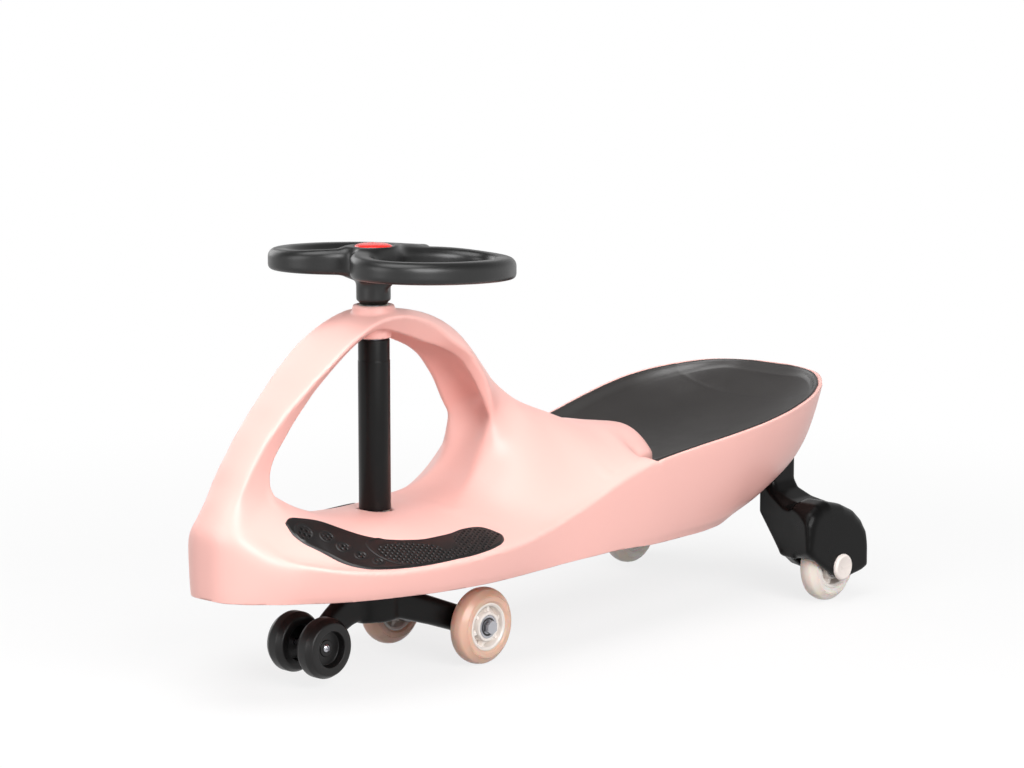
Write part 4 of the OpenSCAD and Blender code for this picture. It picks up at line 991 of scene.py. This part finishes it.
def lobeField(x, y, lean, side, rimMid, rise, soft):
    # one lobe of the rim: an oval ring with a rounded section
    look = wheelLook
    ax, ay = (look["lobeW"] - look["rimW"]) / 2, (look["lobeL"] - look["rimW"]) / 2
    away = np.full((x.shape[0], y.shape[1], 1), 1.0)
    for a in np.linspace(0, 2 * math.pi, 300, endpoint=False):
        px = side * look["lobeX"] + ax * math.cos(a)
        py = columnY + look["lobeBack"] + ay * math.sin(a)
        away = np.minimum(away, np.hypot(x - px, y - py))
    tall = np.abs(lean - rimMid - rise / 2) - (look["rimH"] + rise) / 2
    return roundBox(away - look["rimW"] / 2, tall, soft)


def buildSteeringWheel():
    look = wheelLook
    low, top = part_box("steering_wheel")
    capLow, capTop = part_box("steering_cap")
    margin = Vector((look["margin"],) * 3)
    field = Field(low - margin, top + margin, look["cell"])
    x, y, z = field.mesh()
    rimTop = top.z - look["rimDrop"]
    rimMid, hubFoot = rimTop - look["rimH"] / 2, rimTop - look["rimH"]
    lean = z + (y - columnY) * math.tan(math.radians(look["tilt"]))
    rise = look["hubRise"] * np.exp(-(x / look["hubReach"]) ** 2)
    upper = smoothStep(*look["roundRange"], lean - rimMid)
    soft = look["footRound"] + (look["topRound"] - look["footRound"]) * upper
    lobes = [lobeField(x, y, lean, side, rimMid, rise, soft) for side in (-1, 1)]
    out = np.hypot(x, y - columnY)
    lip = capLow.z + look["capLip"]
    hubTop = np.where(out < (capTop.x - capLow.x) / 2 + look["capGap"], capLow.z, lip)
    hub = postField(out, z, look["hubRadius"], hubFoot, lip, look["hubRound"])
    boss = postField(out, z, look["bossRadius"], look["bossFoot"], rimMid, look["bossRound"])
    neck = postField(out, z, look["neckRadius"], low.z, rimMid, look["neckRound"])
    slope = ((np.abs(x) - look["webStart"][0]) * look["webLean"][0]
             + (hubFoot - look["webStart"][1] - z) * look["webLean"][1])
    web = np.maximum(np.maximum(slope, np.abs(y - columnY) - look["webThick"] / 2),
                     np.maximum(z - rimMid, np.abs(x) - look["webReach"]))
    whole = plainUnion(lobes[0], lobes[1], look["lobeJoin"])
    for part, join in ((hub, look["hubJoin"]), (boss, look["bossJoin"]), (web, look["webJoin"])):
        whole = plainUnion(whole, part, join)
    whole = np.maximum(np.minimum(whole, neck), z - hubTop)
    points, quads = surfaceOf(field, blurred(whole, 1), 6)
    return meshObject("steeringWheel", points, quads, materials["gripPlastic"], turned=True)


settle(buildSteeringWheel(), "steering", "blackPlastic", "steering_wheel")


# the domed cap: shares of its radius and of its rise
capLook = {"bevel": (0.0005, 0.0004), "sideShare": 0.22, "domeShare": 0.66, "flatShare": 0.42,
           "topShare": 0.2, "topDropShare": 0.02, "steps": 12}


def buildCap():
    low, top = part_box("steering_cap")
    r, foot, rise = (top.x - low.x) / 2, low.z, top.z - low.z
    side, flat = foot + rise * capLook["sideShare"], r * capLook["flatShare"]
    bevelIn, bevelUp = capLook["bevel"]
    profile = [(axisRadius, foot), (r - bevelIn, foot), (r, foot + bevelUp), (r, side)]
    for k in range(1, capLook["steps"] + 1):
        a = math.pi / 2 * k / capLook["steps"]
        profile.append((flat + (r - flat) * math.cos(a), side + rise * capLook["domeShare"] * math.sin(a)))
    profile += [(r * capLook["topShare"], top.z - rise * capLook["topDropShare"]), (axisRadius, top.z)]
    points, faces = lathe(profile, 96, (0, columnY, 0), "z")
    return meshObject("steeringCap", points, faces, materials["redPlastic"])


settle(buildCap(), "steering", "redPlastic", "steering_cap")


sleeve = {"boreShare": 0.68, "necked": 0.98, "neckFoot": 0.020, "neckStep": 0.0005, "rounding": 0.0008}


def buildSleeve():
    low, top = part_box("column_sleeve")
    r = (top.x - low.x) / 2
    bore, neck, step = r * sleeve["boreShare"], r * sleeve["necked"], top.z - sleeve["neckFoot"]
    outline = rounded([(bore, low.z), (r, low.z), (r, step), (neck, step + sleeve["neckStep"]), (neck, top.z),
                       (bore, top.z)], sleeve["rounding"], 3)
    points, faces = lathe(outline, 96, (0, columnY, 0), "z")
    return meshObject("columnSleeve", points, faces, materials["blackPlastic"], angle=40)


settle(buildSleeve(), "steering", "blackPlastic", "column_sleeve")
print("steering done")


# a CAD solid with its edges rounded as a moulding's are
def softened(name, node, material, cell, rounds, shaped=None):
    data = nodes[node].data
    data.calc_loop_triangles()
    points = np.array([v.co for v in data.vertices])
    triangles = np.array([t.vertices for t in data.loop_triangles])
    low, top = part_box(node)
    band = 8
    grow = Vector((0.008, 0.008, 0.008))
    field = Field(low - grow, top + grow, cell)
    values = field.fromMesh(points, np.zeros((0, 4), int), triangles, band)
    points, quads = surfaceOf(field, blurred(values, rounds), 6)
    if shaped:
        points = shaped(points)
    return meshObject(name, points, quads, material, turned=True)


# the fork's side along its length: place, top, foot, then how far each one rises
forkSide = [(-0.290, 0.048, 0.026, 0, 0), (-0.278, 0.052, 0.027, -0.003, 0),
            (-0.262, 0.065, 0.033, -0.006, -0.003), (-0.248, 0.075, 0.041, -0.006, -0.004),
            (-0.236, 0.079, 0.045, -0.003, -0.001), (-0.222, 0.082, 0.048, 0, 0.001),
            (-0.208, 0.084, 0.044, 0, 0.004), (-0.180, 0.084, 0.044, 0, 0.0048),
            (-0.150, 0.066, 0.035, 0, 0.0045), (-0.128, 0.058, 0.028, 0, 0.003),
            (-0.112, 0.050, 0.024, 0, 0), (-0.095, 0.042, 0.024, 0, 0)]
fork = {"cell": 0.0015, "rounds": 6, "middle": (0.15, 0.85)}


def archedFork(points):
    # bring the straight arms of the solid to one smooth arch between the casters and the axle
    places, tops, feet, raised, footRaised = np.array(forkSide).T
    y, z = points[:, 1], points[:, 2]
    top, foot = np.interp(y, places, tops), np.interp(y, places, feet)
    share = smoothStep(*fork["middle"], np.clip((top - z) / (top - foot), 0, 1))
    lift = np.interp(y, places, raised) * (1 - share) + np.interp(y, places, footRaised) * share
    moved = points.copy()
    moved[:, 2] = z + lift
    return moved


settle(softened("frontFork", "front_fork", materials["blackPlastic"], fork["cell"], fork["rounds"],
                archedFork), "steering", "blackPlastic", "front_fork")


# the rear brackets: a neck from the shell that opens into a hood over the wheel
bracketLook = {"cell": 0.0013, "room": ((0.052, 0.250, 0.010), (0.163, 0.384, 0.184)),
               "inner": 0.1139, "outer": 0.1529, "sideRound": 0.004, "topRound": 0.011,
               "topRange": (0.050, 0.080), "neckRound": 0.004, "neckJoin": 0.012, "wheelGap": 0.005,
               "sideGap": 0.0025, "slotReach": 0.03, "cutRound": 0.002}
hoodOutline = [(0.2780, 0.0980), (0.2900, 0.1050), (0.3060, 0.1070), (0.3300, 0.1010), (0.3500, 0.0920),
               (0.3630, 0.0810), (0.3700, 0.0680), (0.3706, 0.0310), (0.3600, 0.0272), (0.3440, 0.0250),
               (0.3250, 0.0225), (0.3080, 0.0325), (0.2915, 0.0430), (0.2770, 0.0530), (0.2695, 0.0600),
               (0.2690, 0.0760), (0.2715, 0.0880)]
neckSide = [(0.3065, 0.175), (0.3065, 0.085), (0.2960, 0.068), (0.2830, 0.052), (0.2900, 0.046),
            (0.3000, 0.038), (0.3300, 0.034), (0.3480, 0.060), (0.3440, 0.100), (0.3440, 0.175)]
neckFront = [(0.1040, 0.030), (0.1240, 0.030), (0.1240, 0.098), (0.1000, 0.102), (0.0820, 0.109),
             (0.0770, 0.117), (0.0770, 0.175), (0.0590, 0.175), (0.0590, 0.084), (0.0820, 0.066),
             (0.1040, 0.050)]
# the wall between neck and hood: height, inner edge and its place along the car
wallRows = np.array([(0.040, 0.1100, 0.290), (0.050, 0.1040, 0.284), (0.067, 0.0810, 0.296),
                     (0.084, 0.0590, 0.3065), (0.130, 0.0590, 0.3065)])
# its roof, by place along the car, and how that rises towards the neck
roofRows = np.array([(0.286, 0.097), (0.306, 0.100), (0.330, 0.092), (0.344, 0.085)])
wallLook = {"far": (0.150, 0.2705), "end": (0.128, 0.344), "foot": 0.048, "roofLean": 0.35, "leanFrom": 0.104,
            "leanRun": 0.04}
# the block that is screwed to the shell
blockLook = {"middle": (0.086, 0.285, 0.142), "half": (0.0125, 0.034, 0.016), "rounding": 0.002, "gap": 0.005,
             "join": 0.004}


def hullSide(y, z):
    # half-width of the shell's side at a place and height
    w, zs, wf, zf = hull.at((y - shellLow.y) / bodyLength)[:4]
    u = np.clip((z - high(zf)) / (high(zs) - high(zf)), 0, 1)
    return wide(wf + (w - wf) * u ** sideSwell)


def wallFields(x, y, z):
    # the slanted front of the wall, and the wall itself
    edge, front = (np.interp(z, wallRows[:, 0], wallRows[:, c]) for c in (1, 2))
    run, fall = wallLook["far"][0] - edge, wallLook["far"][1] - front
    ahead = ((x - edge) * fall - (y - front) * run) / np.hypot(run, fall)
    wall = np.maximum(np.maximum(ahead, edge - x),
                      np.maximum(x - wallLook["end"][0], y - wallLook["end"][1]))
    roof = np.interp(y, roofRows[:, 0], roofRows[:, 1])
    lean = wallLook["roofLean"] * np.clip(wallLook["leanFrom"] - x, 0, wallLook["leanRun"])
    return ahead, np.maximum(np.maximum(wall, wallLook["foot"] - z), z - roof - lean)


def blockField(x, y, z):
    awayX, awayY, awayZ = (np.abs(v - m) - h
                           for v, m, h in zip((x, y, z), blockLook["middle"], blockLook["half"]))
    block = roundBox(np.maximum(awayX, awayY), awayZ, blockLook["rounding"])
    return np.maximum(block, x - hullSide(y, z) + blockLook["gap"])


def wheelRoom(x, y, z):
    # the room for the wheel, open downwards
    low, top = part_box("rear_tyre_left")
    axle, r = (low + top) / 2, (top.z - low.z) / 2
    beside = np.abs(x - axle.x) - (top.x - low.x) / 2 - bracketLook["sideGap"]
    room = np.maximum(np.hypot(y - axle.y, z - axle.z) - r - bracketLook["wheelGap"], beside)
    below = np.maximum(z - axle.z, np.abs(y - axle.y) - r - bracketLook["slotReach"])
    return np.minimum(room, np.maximum(beside, below))


def buildBracket(name, side):
    look = bracketLook
    field = Field(*look["room"], look["cell"])
    x, y, z = field.mesh()
    soft = look["sideRound"] + (look["topRound"] - look["sideRound"]) * smoothStep(*look["topRange"], z)
    across = np.abs(x - (look["inner"] + look["outer"]) / 2) - (look["outer"] - look["inner"]) / 2
    ahead, wall = wallFields(x, y, z)
    hood = np.maximum(roundBox(outlineDistance(hoodOutline, y, z), across, soft), ahead)
    neck = roundBox(outlineDistance(neckSide, y, z), outlineDistance(neckFront, x, z), look["neckRound"])
    whole = softUnion(np.minimum(hood, wall), neck, look["neckJoin"])
    whole = plainUnion(whole, blockField(x, y, z), blockLook["join"])
    whole = softCut(whole, wheelRoom(x, y, z), look["cutRound"])
    points, quads = surfaceOf(field, blurred(whole, 2), 6)
    points[:, 0] *= side
    return meshObject(name, points, quads, materials["bracketPlastic"])


for hand, side in (("left", 1), ("right", -1)):
    bracket = buildBracket("rearBracket" + hand.capitalize(), side)
    settle(bracket, "body", "blackPlastic", "rear_bracket_" + hand)


# pan heads: radius as a share and depth, from the rim to the dimple
screwHeads = [(1, 0), (1, 0.0014), (0.86, 0.0028), (0.45, 0.0034), (0.3, 0.0024)]
bracketScrew = {"face": 0.0728, "shank": [(0.0016, 0.0215), (0.0029, 0.0185), (0.0029, 0)], "length": 0.0228,
                "dimple": 0.0022}


def buildBracketScrews():
    low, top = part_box("bracket_screws")
    z, r = (low.z + top.z) / 2, (top.z - low.z) / 2
    outline = ([(axisRadius, bracketScrew["length"])] + bracketScrew["shank"]
               + [(r * share, -depth) for share, depth in screwHeads]
               + [(axisRadius, -bracketScrew["dimple"])])
    parts = [lathe(outline, 32, (side * bracketScrew["face"], y, z), "x", side)
             for side in (1, -1) for y in (low.y + r, top.y - r)]
    return joined("bracketScrews", parts, materials["zincSteel"], angle=40)


settle(buildBracketScrews(), "body", "zincSteel", "bracket_screws")
print("fork and brackets done")


# the wheels
wheelSet = {"hubRadius": 0.0228, "crownRound": 0.012, "turns": 120}
# half of a tyre's section: out from its inner edge, or in from its tread, then in from the side, and rounding
tyreInner = [(0, 0.0012, 0.0004), (0.0022, 0, 0.0008), (0.0058, 0, 0.0003), (0.0062, 0.0006, 0.0003),
             (0.0068, 0.0006, 0.0003), (0.0072, 0.0001, 0.0003)]
tyreOuter = [(0.0075, 0.0007, 0.0040), (0.0014, 0.0048, 0.0050)]


def tyreParts(centre, width, radius, inner, side):
    half = width / 2
    line = [(inner + out, d, e) for out, d, e in tyreInner]
    line += [(radius - out, d, e) for out, d, e in tyreOuter]
    outline = rounded([(r, d - half, e) for r, d, e in line] + [(radius, 0, wheelSet["crownRound"])]
                      + [(r, half - d, e) for r, d, e in reversed(line)], 0, 6)
    return [lathe(outline, wheelSet["turns"], centre, "x", side)]


def spokePart(centre, angle, radii, widths, half, side):
    # one spoke of a hub, tapered from the boss to the rim
    c, s = math.cos(angle), math.sin(angle)
    points = []
    for r, w, h in ((radii[0], widths[0], half), (radii[1], widths[1], half * 0.8)):
        for u, v in ((-w, -h), (w, -h), (w, h * 0.75), (w * 0.6, h), (-w * 0.6, h), (-w, h * 0.75)):
            points.append((centre[0] + side * v, centre[1] + r * c - u * s, centre[2] + r * s + u * c))
    n = 6
    faces = [(j, (j + 1) % n, n + (j + 1) % n, n + j) for j in range(n)]
    return points, faces + [tuple(range(n)), tuple(range(2 * n - 1, n - 1, -1))]


hubLook = {"widthShare": 0.9, "rounding": 0.0006,
           # the rim: depths in from its outside
           "rimTop": 0.0016, "rimBevel": 0.0032, "rimThick": 0.0038, "rimRise": 0.0004, "bevelDrop": 0.0008,
           "rimFlat": 0.0022,
           "bore": 0.0112, "bossFlat": 0.0136, "boss": 0.0142, "bossTaper": 0.0008, "bossDrop": 0.002,
           "webFoot": 0.013, "webTop": 0.003, "webHalf": 0.0008,
           "spokes": 6, "spokeTurn": 0.3, "spokeFoot": 0.0132, "spokeWidths": (0.0026, 0.0019),
           "spokeShare": 0.72}


def hubParts(centre, width, radius, side):
    look = hubLook
    half = width / 2 * look["widthShare"]
    top, bevel, inside = (radius - look[k] for k in ("rimTop", "rimBevel", "rimThick"))
    rise, drop, flat = half + look["rimRise"], half - look["bevelDrop"], look["rimFlat"]
    rimLine = [(radius, -half), (radius, half), (top, rise), (bevel, drop), (inside, flat), (inside, -flat),
               (bevel, -drop), (top, -rise)]
    edge = half - look["bossDrop"]
    bossLine = [(look["bore"], -half), (look["bore"], half), (look["bossFlat"], half), (look["boss"], edge),
                (look["boss"] + look["bossTaper"], -edge), (look["bossFlat"], -half)]
    foot, end, thin = look["webFoot"], radius - look["webTop"], look["webHalf"]
    parts = [lathe(rounded(rimLine, look["rounding"], 3), 96, centre, "x", side),
             lathe(rounded(bossLine, look["rounding"], 3), 72, centre, "x", side),
             lathe([(foot, -thin), (end, -thin), (end, thin), (foot, thin)], 72, centre, "x", side)]
    for k in range(look["spokes"]):
        angle = 2 * math.pi * (k + look["spokeTurn"]) / look["spokes"]
        parts.append(spokePart(centre, angle, (look["spokeFoot"], end), look["spokeWidths"],
                               half * look["spokeShare"], side))
    return parts


# rings of a bearing: inner and outer radius, and how far the ring lies back; the one that does is the seal
bearingRings = [(0.0088, 0.011, 0), (0.0068, 0.0089, 0.0007), (0.00405, 0.0069, 0)]
bearing = {"inset": 0.0002, "depth": 0.007, "rounding": 0.0003}


def bearingParts(centre, width, side):
    half = width / 2 * hubLook["widthShare"]
    parts = []
    for way in (-1, 1):
        back = way * (half - bearing["depth"])
        for r1, r2, lies in bearingRings:
            face = way * (half - bearing["inset"]) - way * lies
            outline = rounded([(r1, back), (r2, back), (r2, face), (r1, face)], bearing["rounding"], 2)
            parts.append((lathe(outline, 72, centre, "x", side), lies > 0))
    return parts


def buildWheel(end, hand, side):
    tyreNode, hubNode, bearingNode = ("%s_%s_%s" % (end, kind, hand) for kind in ("tyre", "hub", "bearings"))
    low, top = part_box(tyreNode)
    centre = tuple((low + top) / 2)
    width, radius, hubRadius = top.x - low.x, (top.z - low.z) / 2, wheelSet["hubRadius"]
    tread = "frontTreadPinkBounce" if end == "front" else "rearTread"
    rings = bearingParts(centre, width, side)
    pieces = [("Tyre", tyreParts(centre, width, radius, hubRadius, side), tread, 50, [tyreNode]),
              ("Hub", hubParts(centre, width, hubRadius, side), "hubPlastic", 35, [hubNode]),
              ("Bearing", [part for part, dark in rings if not dark], "zincSteel", 35, [bearingNode]),
              ("Seal", [part for part, dark in rings if dark], "darkSeal", 35, [])]
    for kind, parts, finish, angle, replaced in pieces:
        obj = joined(end + kind + hand.capitalize(), parts, materials[finish], angle=angle)
        settle(obj, "%s_wheel_%s" % (end, hand), finish, *replaced)


for end in ("front", "rear"):
    for hand, side in (("left", 1), ("right", -1)):
        buildWheel(end, hand, side)


casterLook = {"recess": 0.0160, "depth": 0.0080, "bore": 0.0031, "lean": 0.0008,
              "shoulder": (0.0035, 0.006), "boss": (0.0078, 0.0074), "bossRise": 0.001}


def buildCaster(name, node, body, side):
    low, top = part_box(node)
    centre = tuple((low + top) / 2)
    half, r = (top.x - low.x) / 2, (top.z - low.z) / 2
    recess, bore, lip = casterLook["recess"], casterLook["bore"], casterLook["recess"] + casterLook["lean"]
    deep = half - casterLook["depth"]
    shoulder, fall = r - casterLook["shoulder"][0], half - casterLook["shoulder"][1]
    bossFoot, bossTop = casterLook["boss"]
    face = deep + casterLook["bossRise"]
    outline = rounded([(bore, -deep), (recess, -deep, 0.001), (lip, -half, 0.0012), (shoulder, -half, 0.003),
                       (r, -fall, 0.004), (r, fall, 0.004), (shoulder, half, 0.003), (lip, half, 0.0012),
                       (recess, deep, 0.001), (bossFoot, deep, 0.0006), (bossTop, face, 0.0004), (bore, face)],
                      0.0006, 4)
    points, faces = lathe(outline, 96, centre, "x", side)
    settle(meshObject(name, points, faces, materials["casterRubber"], angle=45), body, "casterRubber", node)


for hand, side in (("left", 1), ("right", -1)):
    buildCaster("caster" + hand.capitalize(), "caster_" + hand, "caster_wheel_" + hand, side)


# the axle of the casters: a plain shaft with a cross-recess screw head in each caster's hollow
casterScrew = {"shaft": 0.0029, "head": 0.0043, "rise": 0.0032, "domeShare": 0.85, "slotDepth": 0.0013,
               "slotSide": (0.0004, 0.0008), "slotEnd": (0.0020, 0.0023), "rings": 16, "turns": 96}


def screwHead(centre, foot, side):
    count, n = casterScrew["rings"], casterScrew["turns"]
    radii = casterScrew["head"] * np.arange(1, count + 1) / count
    angles = 2 * math.pi * np.arange(n) / n
    r, a = np.meshgrid(radii, angles, indexing="ij")
    u, v = r * np.cos(a), r * np.sin(a)
    near, far = np.minimum(np.abs(u), np.abs(v)), np.maximum(np.abs(u), np.abs(v))
    cross = (1 - smoothStep(*casterScrew["slotSide"], near)) * (1 - smoothStep(*casterScrew["slotEnd"], far))
    dome = casterScrew["rise"] * np.sqrt(1 - casterScrew["domeShare"] * (r / casterScrew["head"]) ** 2)
    out = foot + dome - casterScrew["slotDepth"] * cross
    # rings from the middle outwards, the head's foot, then the bottom of the slot
    out, u, v = (np.vstack([rows, last]) for rows, last in ((out, np.full(n, foot)), (u, u[-1]), (v, v[-1])))
    points = np.stack([centre[0] + side * out, centre[1] + u, centre[2] + v], axis=-1).reshape(-1, 3)
    tip = (centre[0] + side * (foot + casterScrew["rise"] - casterScrew["slotDepth"]), centre[1], centre[2])
    index = np.arange(len(points)).reshape(-1, n)
    index = np.hstack([index, index[:, :1]])
    faces = [(len(points), j, (j + 1) % n) for j in range(n)]
    faces += [tuple(face) for face in gridFaces(index)]
    faces.append(tuple(index[-1, :-1]))
    return [tuple(p) for p in points] + [tip], faces


def buildCasterAxle():
    centre = tuple(middle("caster_axle"))
    foot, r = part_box("caster_left")[1].x - casterLook["depth"], casterScrew["shaft"]
    parts = [lathe([(axisRadius, -foot), (r, -foot), (r, foot), (axisRadius, foot)], 48, centre, "x", 1)]
    parts += [screwHead(centre, foot, side) for side in (1, -1)]
    return joined("casterAxle", parts, materials["zincSteel"], angle=40)


settle(buildCasterAxle(), "steering", "zincSteel", "caster_axle")


# the buttons on the rear axles: shares of their radius and of their rise
buttonLook = {"sideShare": 0.4, "flatShare": 0.8, "dishShare": 0.74, "dishRise": 0.93, "middleRise": 0.9,
              "steps": 8}


def buildAxleCap(name, node, side):
    low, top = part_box(node)
    centre = middle(node)
    foot = min(abs(low.x), abs(top.x))
    r, rise = (top.z - low.z) / 2, top.x - low.x
    edge, flat = rise * buttonLook["sideShare"], r * buttonLook["flatShare"]
    profile = [(axisRadius, 0), (r, 0), (r, edge)]
    for k in range(1, buttonLook["steps"] + 1):
        a = math.pi / 2 * k / buttonLook["steps"]
        profile.append((flat + (r - flat) * math.cos(a), edge + (rise - edge) * math.sin(a)))
    profile += [(r * buttonLook["dishShare"], rise * buttonLook["dishRise"]),
                (axisRadius, rise * buttonLook["middleRise"])]
    points, faces = lathe(profile, 72, (side * foot, centre.y, centre.z), "x", side)
    settle(meshObject(name, points, faces, materials["creamPlastic"], angle=45), "body", "creamPlastic", node)


for hand, side in (("left", 1), ("right", -1)):
    buildAxleCap("axleCap" + hand.capitalize(), "rear_axle_cap_" + hand, side)
print("wheels done")


# the stage: floor, backdrop, light and camera
stage = {"azimuth": 42.96, "elevation": 9.15, "target": (0.0163, -0.02228, 0.2518), "distance": 3.1186,
         "lens": 114.14, "sensor": 36, "sight": 50, "floorReach": 20, "shadowShare": 0.2,
         "shadowFade": (0.45, 1.3), "paperDark": 0.3, "paperPale": 0.80}
lights = {"fill": 0.12, "sheen": (1.0, 0.2), "sheenRise": (0.05, 0.7),
          "key": {"place": (0.2, -0.7, 2.6), "aim": (0, 0, 0.2), "size": 2.2, "power": 50},
          "front": {"place": (-0.2, -2.7, 1.0), "aim": (0, 0, 0.2), "size": 1.8, "power": 24},
          "side": {"place": (2.3, -0.85, 1.35), "aim": (0, 0.05, 0.2), "size": 1.8, "power": 66},
          "left": {"place": (-2.5, 0.2, 1.2), "aim": (0, 0, 0.2), "size": 1.8, "power": 16}}


def rangeNode(tree, source, before, after):
    # maps a value from one range to another
    node = tree.nodes.new("ShaderNodeMapRange")
    for label, value in zip(("From Min", "From Max", "To Min", "To Max"), (*before, *after)):
        node.inputs[label].default_value = value
    tree.links.new(source, node.inputs["Value"])
    return node


def mathNode(tree, operation, first, second):
    node = tree.nodes.new("ShaderNodeMath")
    node.operation = operation
    tree.links.new(first, node.inputs[0])
    tree.links.new(second, node.inputs[1])
    return node.outputs[0]


def mixedShaders(tree, share, first, second):
    mix = tree.nodes.new("ShaderNodeMixShader")
    for source, socket in zip((share, first, second), mix.inputs):
        tree.links.new(source, socket)
    return mix.outputs[0]


def paperFloor():
    # paper that keeps a shadow near the toy and fades to plain white further off
    material = bpy.data.materials.new("paperFloor")
    material.use_nodes = True
    tree = material.node_tree
    tree.nodes.clear()
    new, link = tree.nodes.new, tree.links.new
    rays = new("ShaderNodeLightPath").outputs
    seen = mathNode(tree, "MAXIMUM", rays["Is Camera Ray"], rays["Is Glossy Ray"])
    seen = mathNode(tree, "MAXIMUM", seen, rays["Is Transmission Ray"])
    tone = new("ShaderNodeMix")
    tone.data_type = "RGBA"
    tone.inputs["A"].default_value = (stage["paperDark"],) * 3 + (1,)
    tone.inputs["B"].default_value = (stage["paperPale"],) * 3 + (1,)
    link(seen, tone.inputs["Factor"])
    paper = new("ShaderNodeBsdfDiffuse")
    link(tone.outputs["Result"], paper.inputs["Color"])
    far = new("ShaderNodeVectorMath")
    far.operation = "LENGTH"
    link(new("ShaderNodeTexCoord").outputs["Object"], far.inputs[0])
    fade = rangeNode(tree, far.outputs["Value"], stage["shadowFade"], (1 - stage["shadowShare"], 1))
    fade.interpolation_type = "SMOOTHSTEP"
    glow = new("ShaderNodeEmission")
    glow.inputs["Strength"].default_value = 1
    share = mathNode(tree, "MULTIPLY", seen, fade.outputs["Result"])
    surface = mixedShaders(tree, share, paper.outputs[0], glow.outputs[0])
    link(surface, new("ShaderNodeOutputMaterial").inputs["Surface"])
    return material


def buildFloor():
    data = bpy.data.meshes.new("floor")
    reach = stage["floorReach"]
    data.from_pydata([(-reach, -reach, 0), (reach, -reach, 0), (reach, reach, 0), (-reach, reach, 0)], [],
                     [(0, 1, 2, 3)])
    floor = bpy.data.objects.new("floor", data)
    bpy.context.scene.collection.objects.link(floor)
    data.materials.append(paperFloor())


def buildWorld():
    world = bpy.data.worlds.new("studio")
    bpy.context.scene.world = world
    world.use_nodes = True
    tree = world.node_tree
    tree.nodes.clear()
    new, link = tree.nodes.new, tree.links.new
    fill, sheen, white = (new("ShaderNodeBackground") for _ in range(3))
    for node, strength in ((fill, lights["fill"]), (sheen, 1), (white, 1)):
        node.inputs["Color"].default_value = (1, 1, 1, 1)
        node.inputs["Strength"].default_value = strength
    # reflections see a pale horizon and a darker room above it
    parted = new("ShaderNodeSeparateXYZ")
    link(new("ShaderNodeTexCoord").outputs["Generated"], parted.inputs[0])
    rise = rangeNode(tree, parted.outputs["Z"], lights["sheenRise"], lights["sheen"])
    link(rise.outputs["Result"], sheen.inputs["Strength"])
    rays = new("ShaderNodeLightPath").outputs
    shine = mixedShaders(tree, rays["Is Glossy Ray"], fill.outputs[0], sheen.outputs[0])
    surface = mixedShaders(tree, rays["Is Camera Ray"], shine, white.outputs[0])
    link(surface, new("ShaderNodeOutputWorld").inputs["Surface"])


def buildLight(name, look):
    data = bpy.data.lights.new(name, "AREA")
    data.shape = "DISK"
    data.size = look["size"]
    data.energy = look["power"]
    lamp = bpy.data.objects.new(name, data)
    bpy.context.scene.collection.objects.link(lamp)
    lamp.location = look["place"]
    lamp.rotation_euler = (Vector(look["aim"]) - Vector(look["place"])).to_track_quat("-Z", "Y").to_euler()


def buildCamera():
    data = bpy.data.cameras.new("camera")
    data.lens = stage["lens"]
    data.sensor_width = stage["sensor"]
    data.clip_end = stage["sight"]
    camera = bpy.data.objects.new("camera", data)
    bpy.context.scene.collection.objects.link(camera)
    a, e = math.radians(stage["azimuth"]), math.radians(stage["elevation"])
    back = Vector((math.sin(a) * math.cos(e), -math.cos(a) * math.cos(e), math.sin(e)))
    camera.location = Vector(stage["target"]) + back * stage["distance"]
    camera.rotation_euler = back.to_track_quat("Z", "Y").to_euler()
    bpy.context.scene.camera = camera


buildFloor()
buildWorld()
for name in ("key", "front", "side", "left"):
    buildLight(name, lights[name])
buildCamera()
bpy.context.scene.view_settings.view_transform = "Standard"
print("stage set")
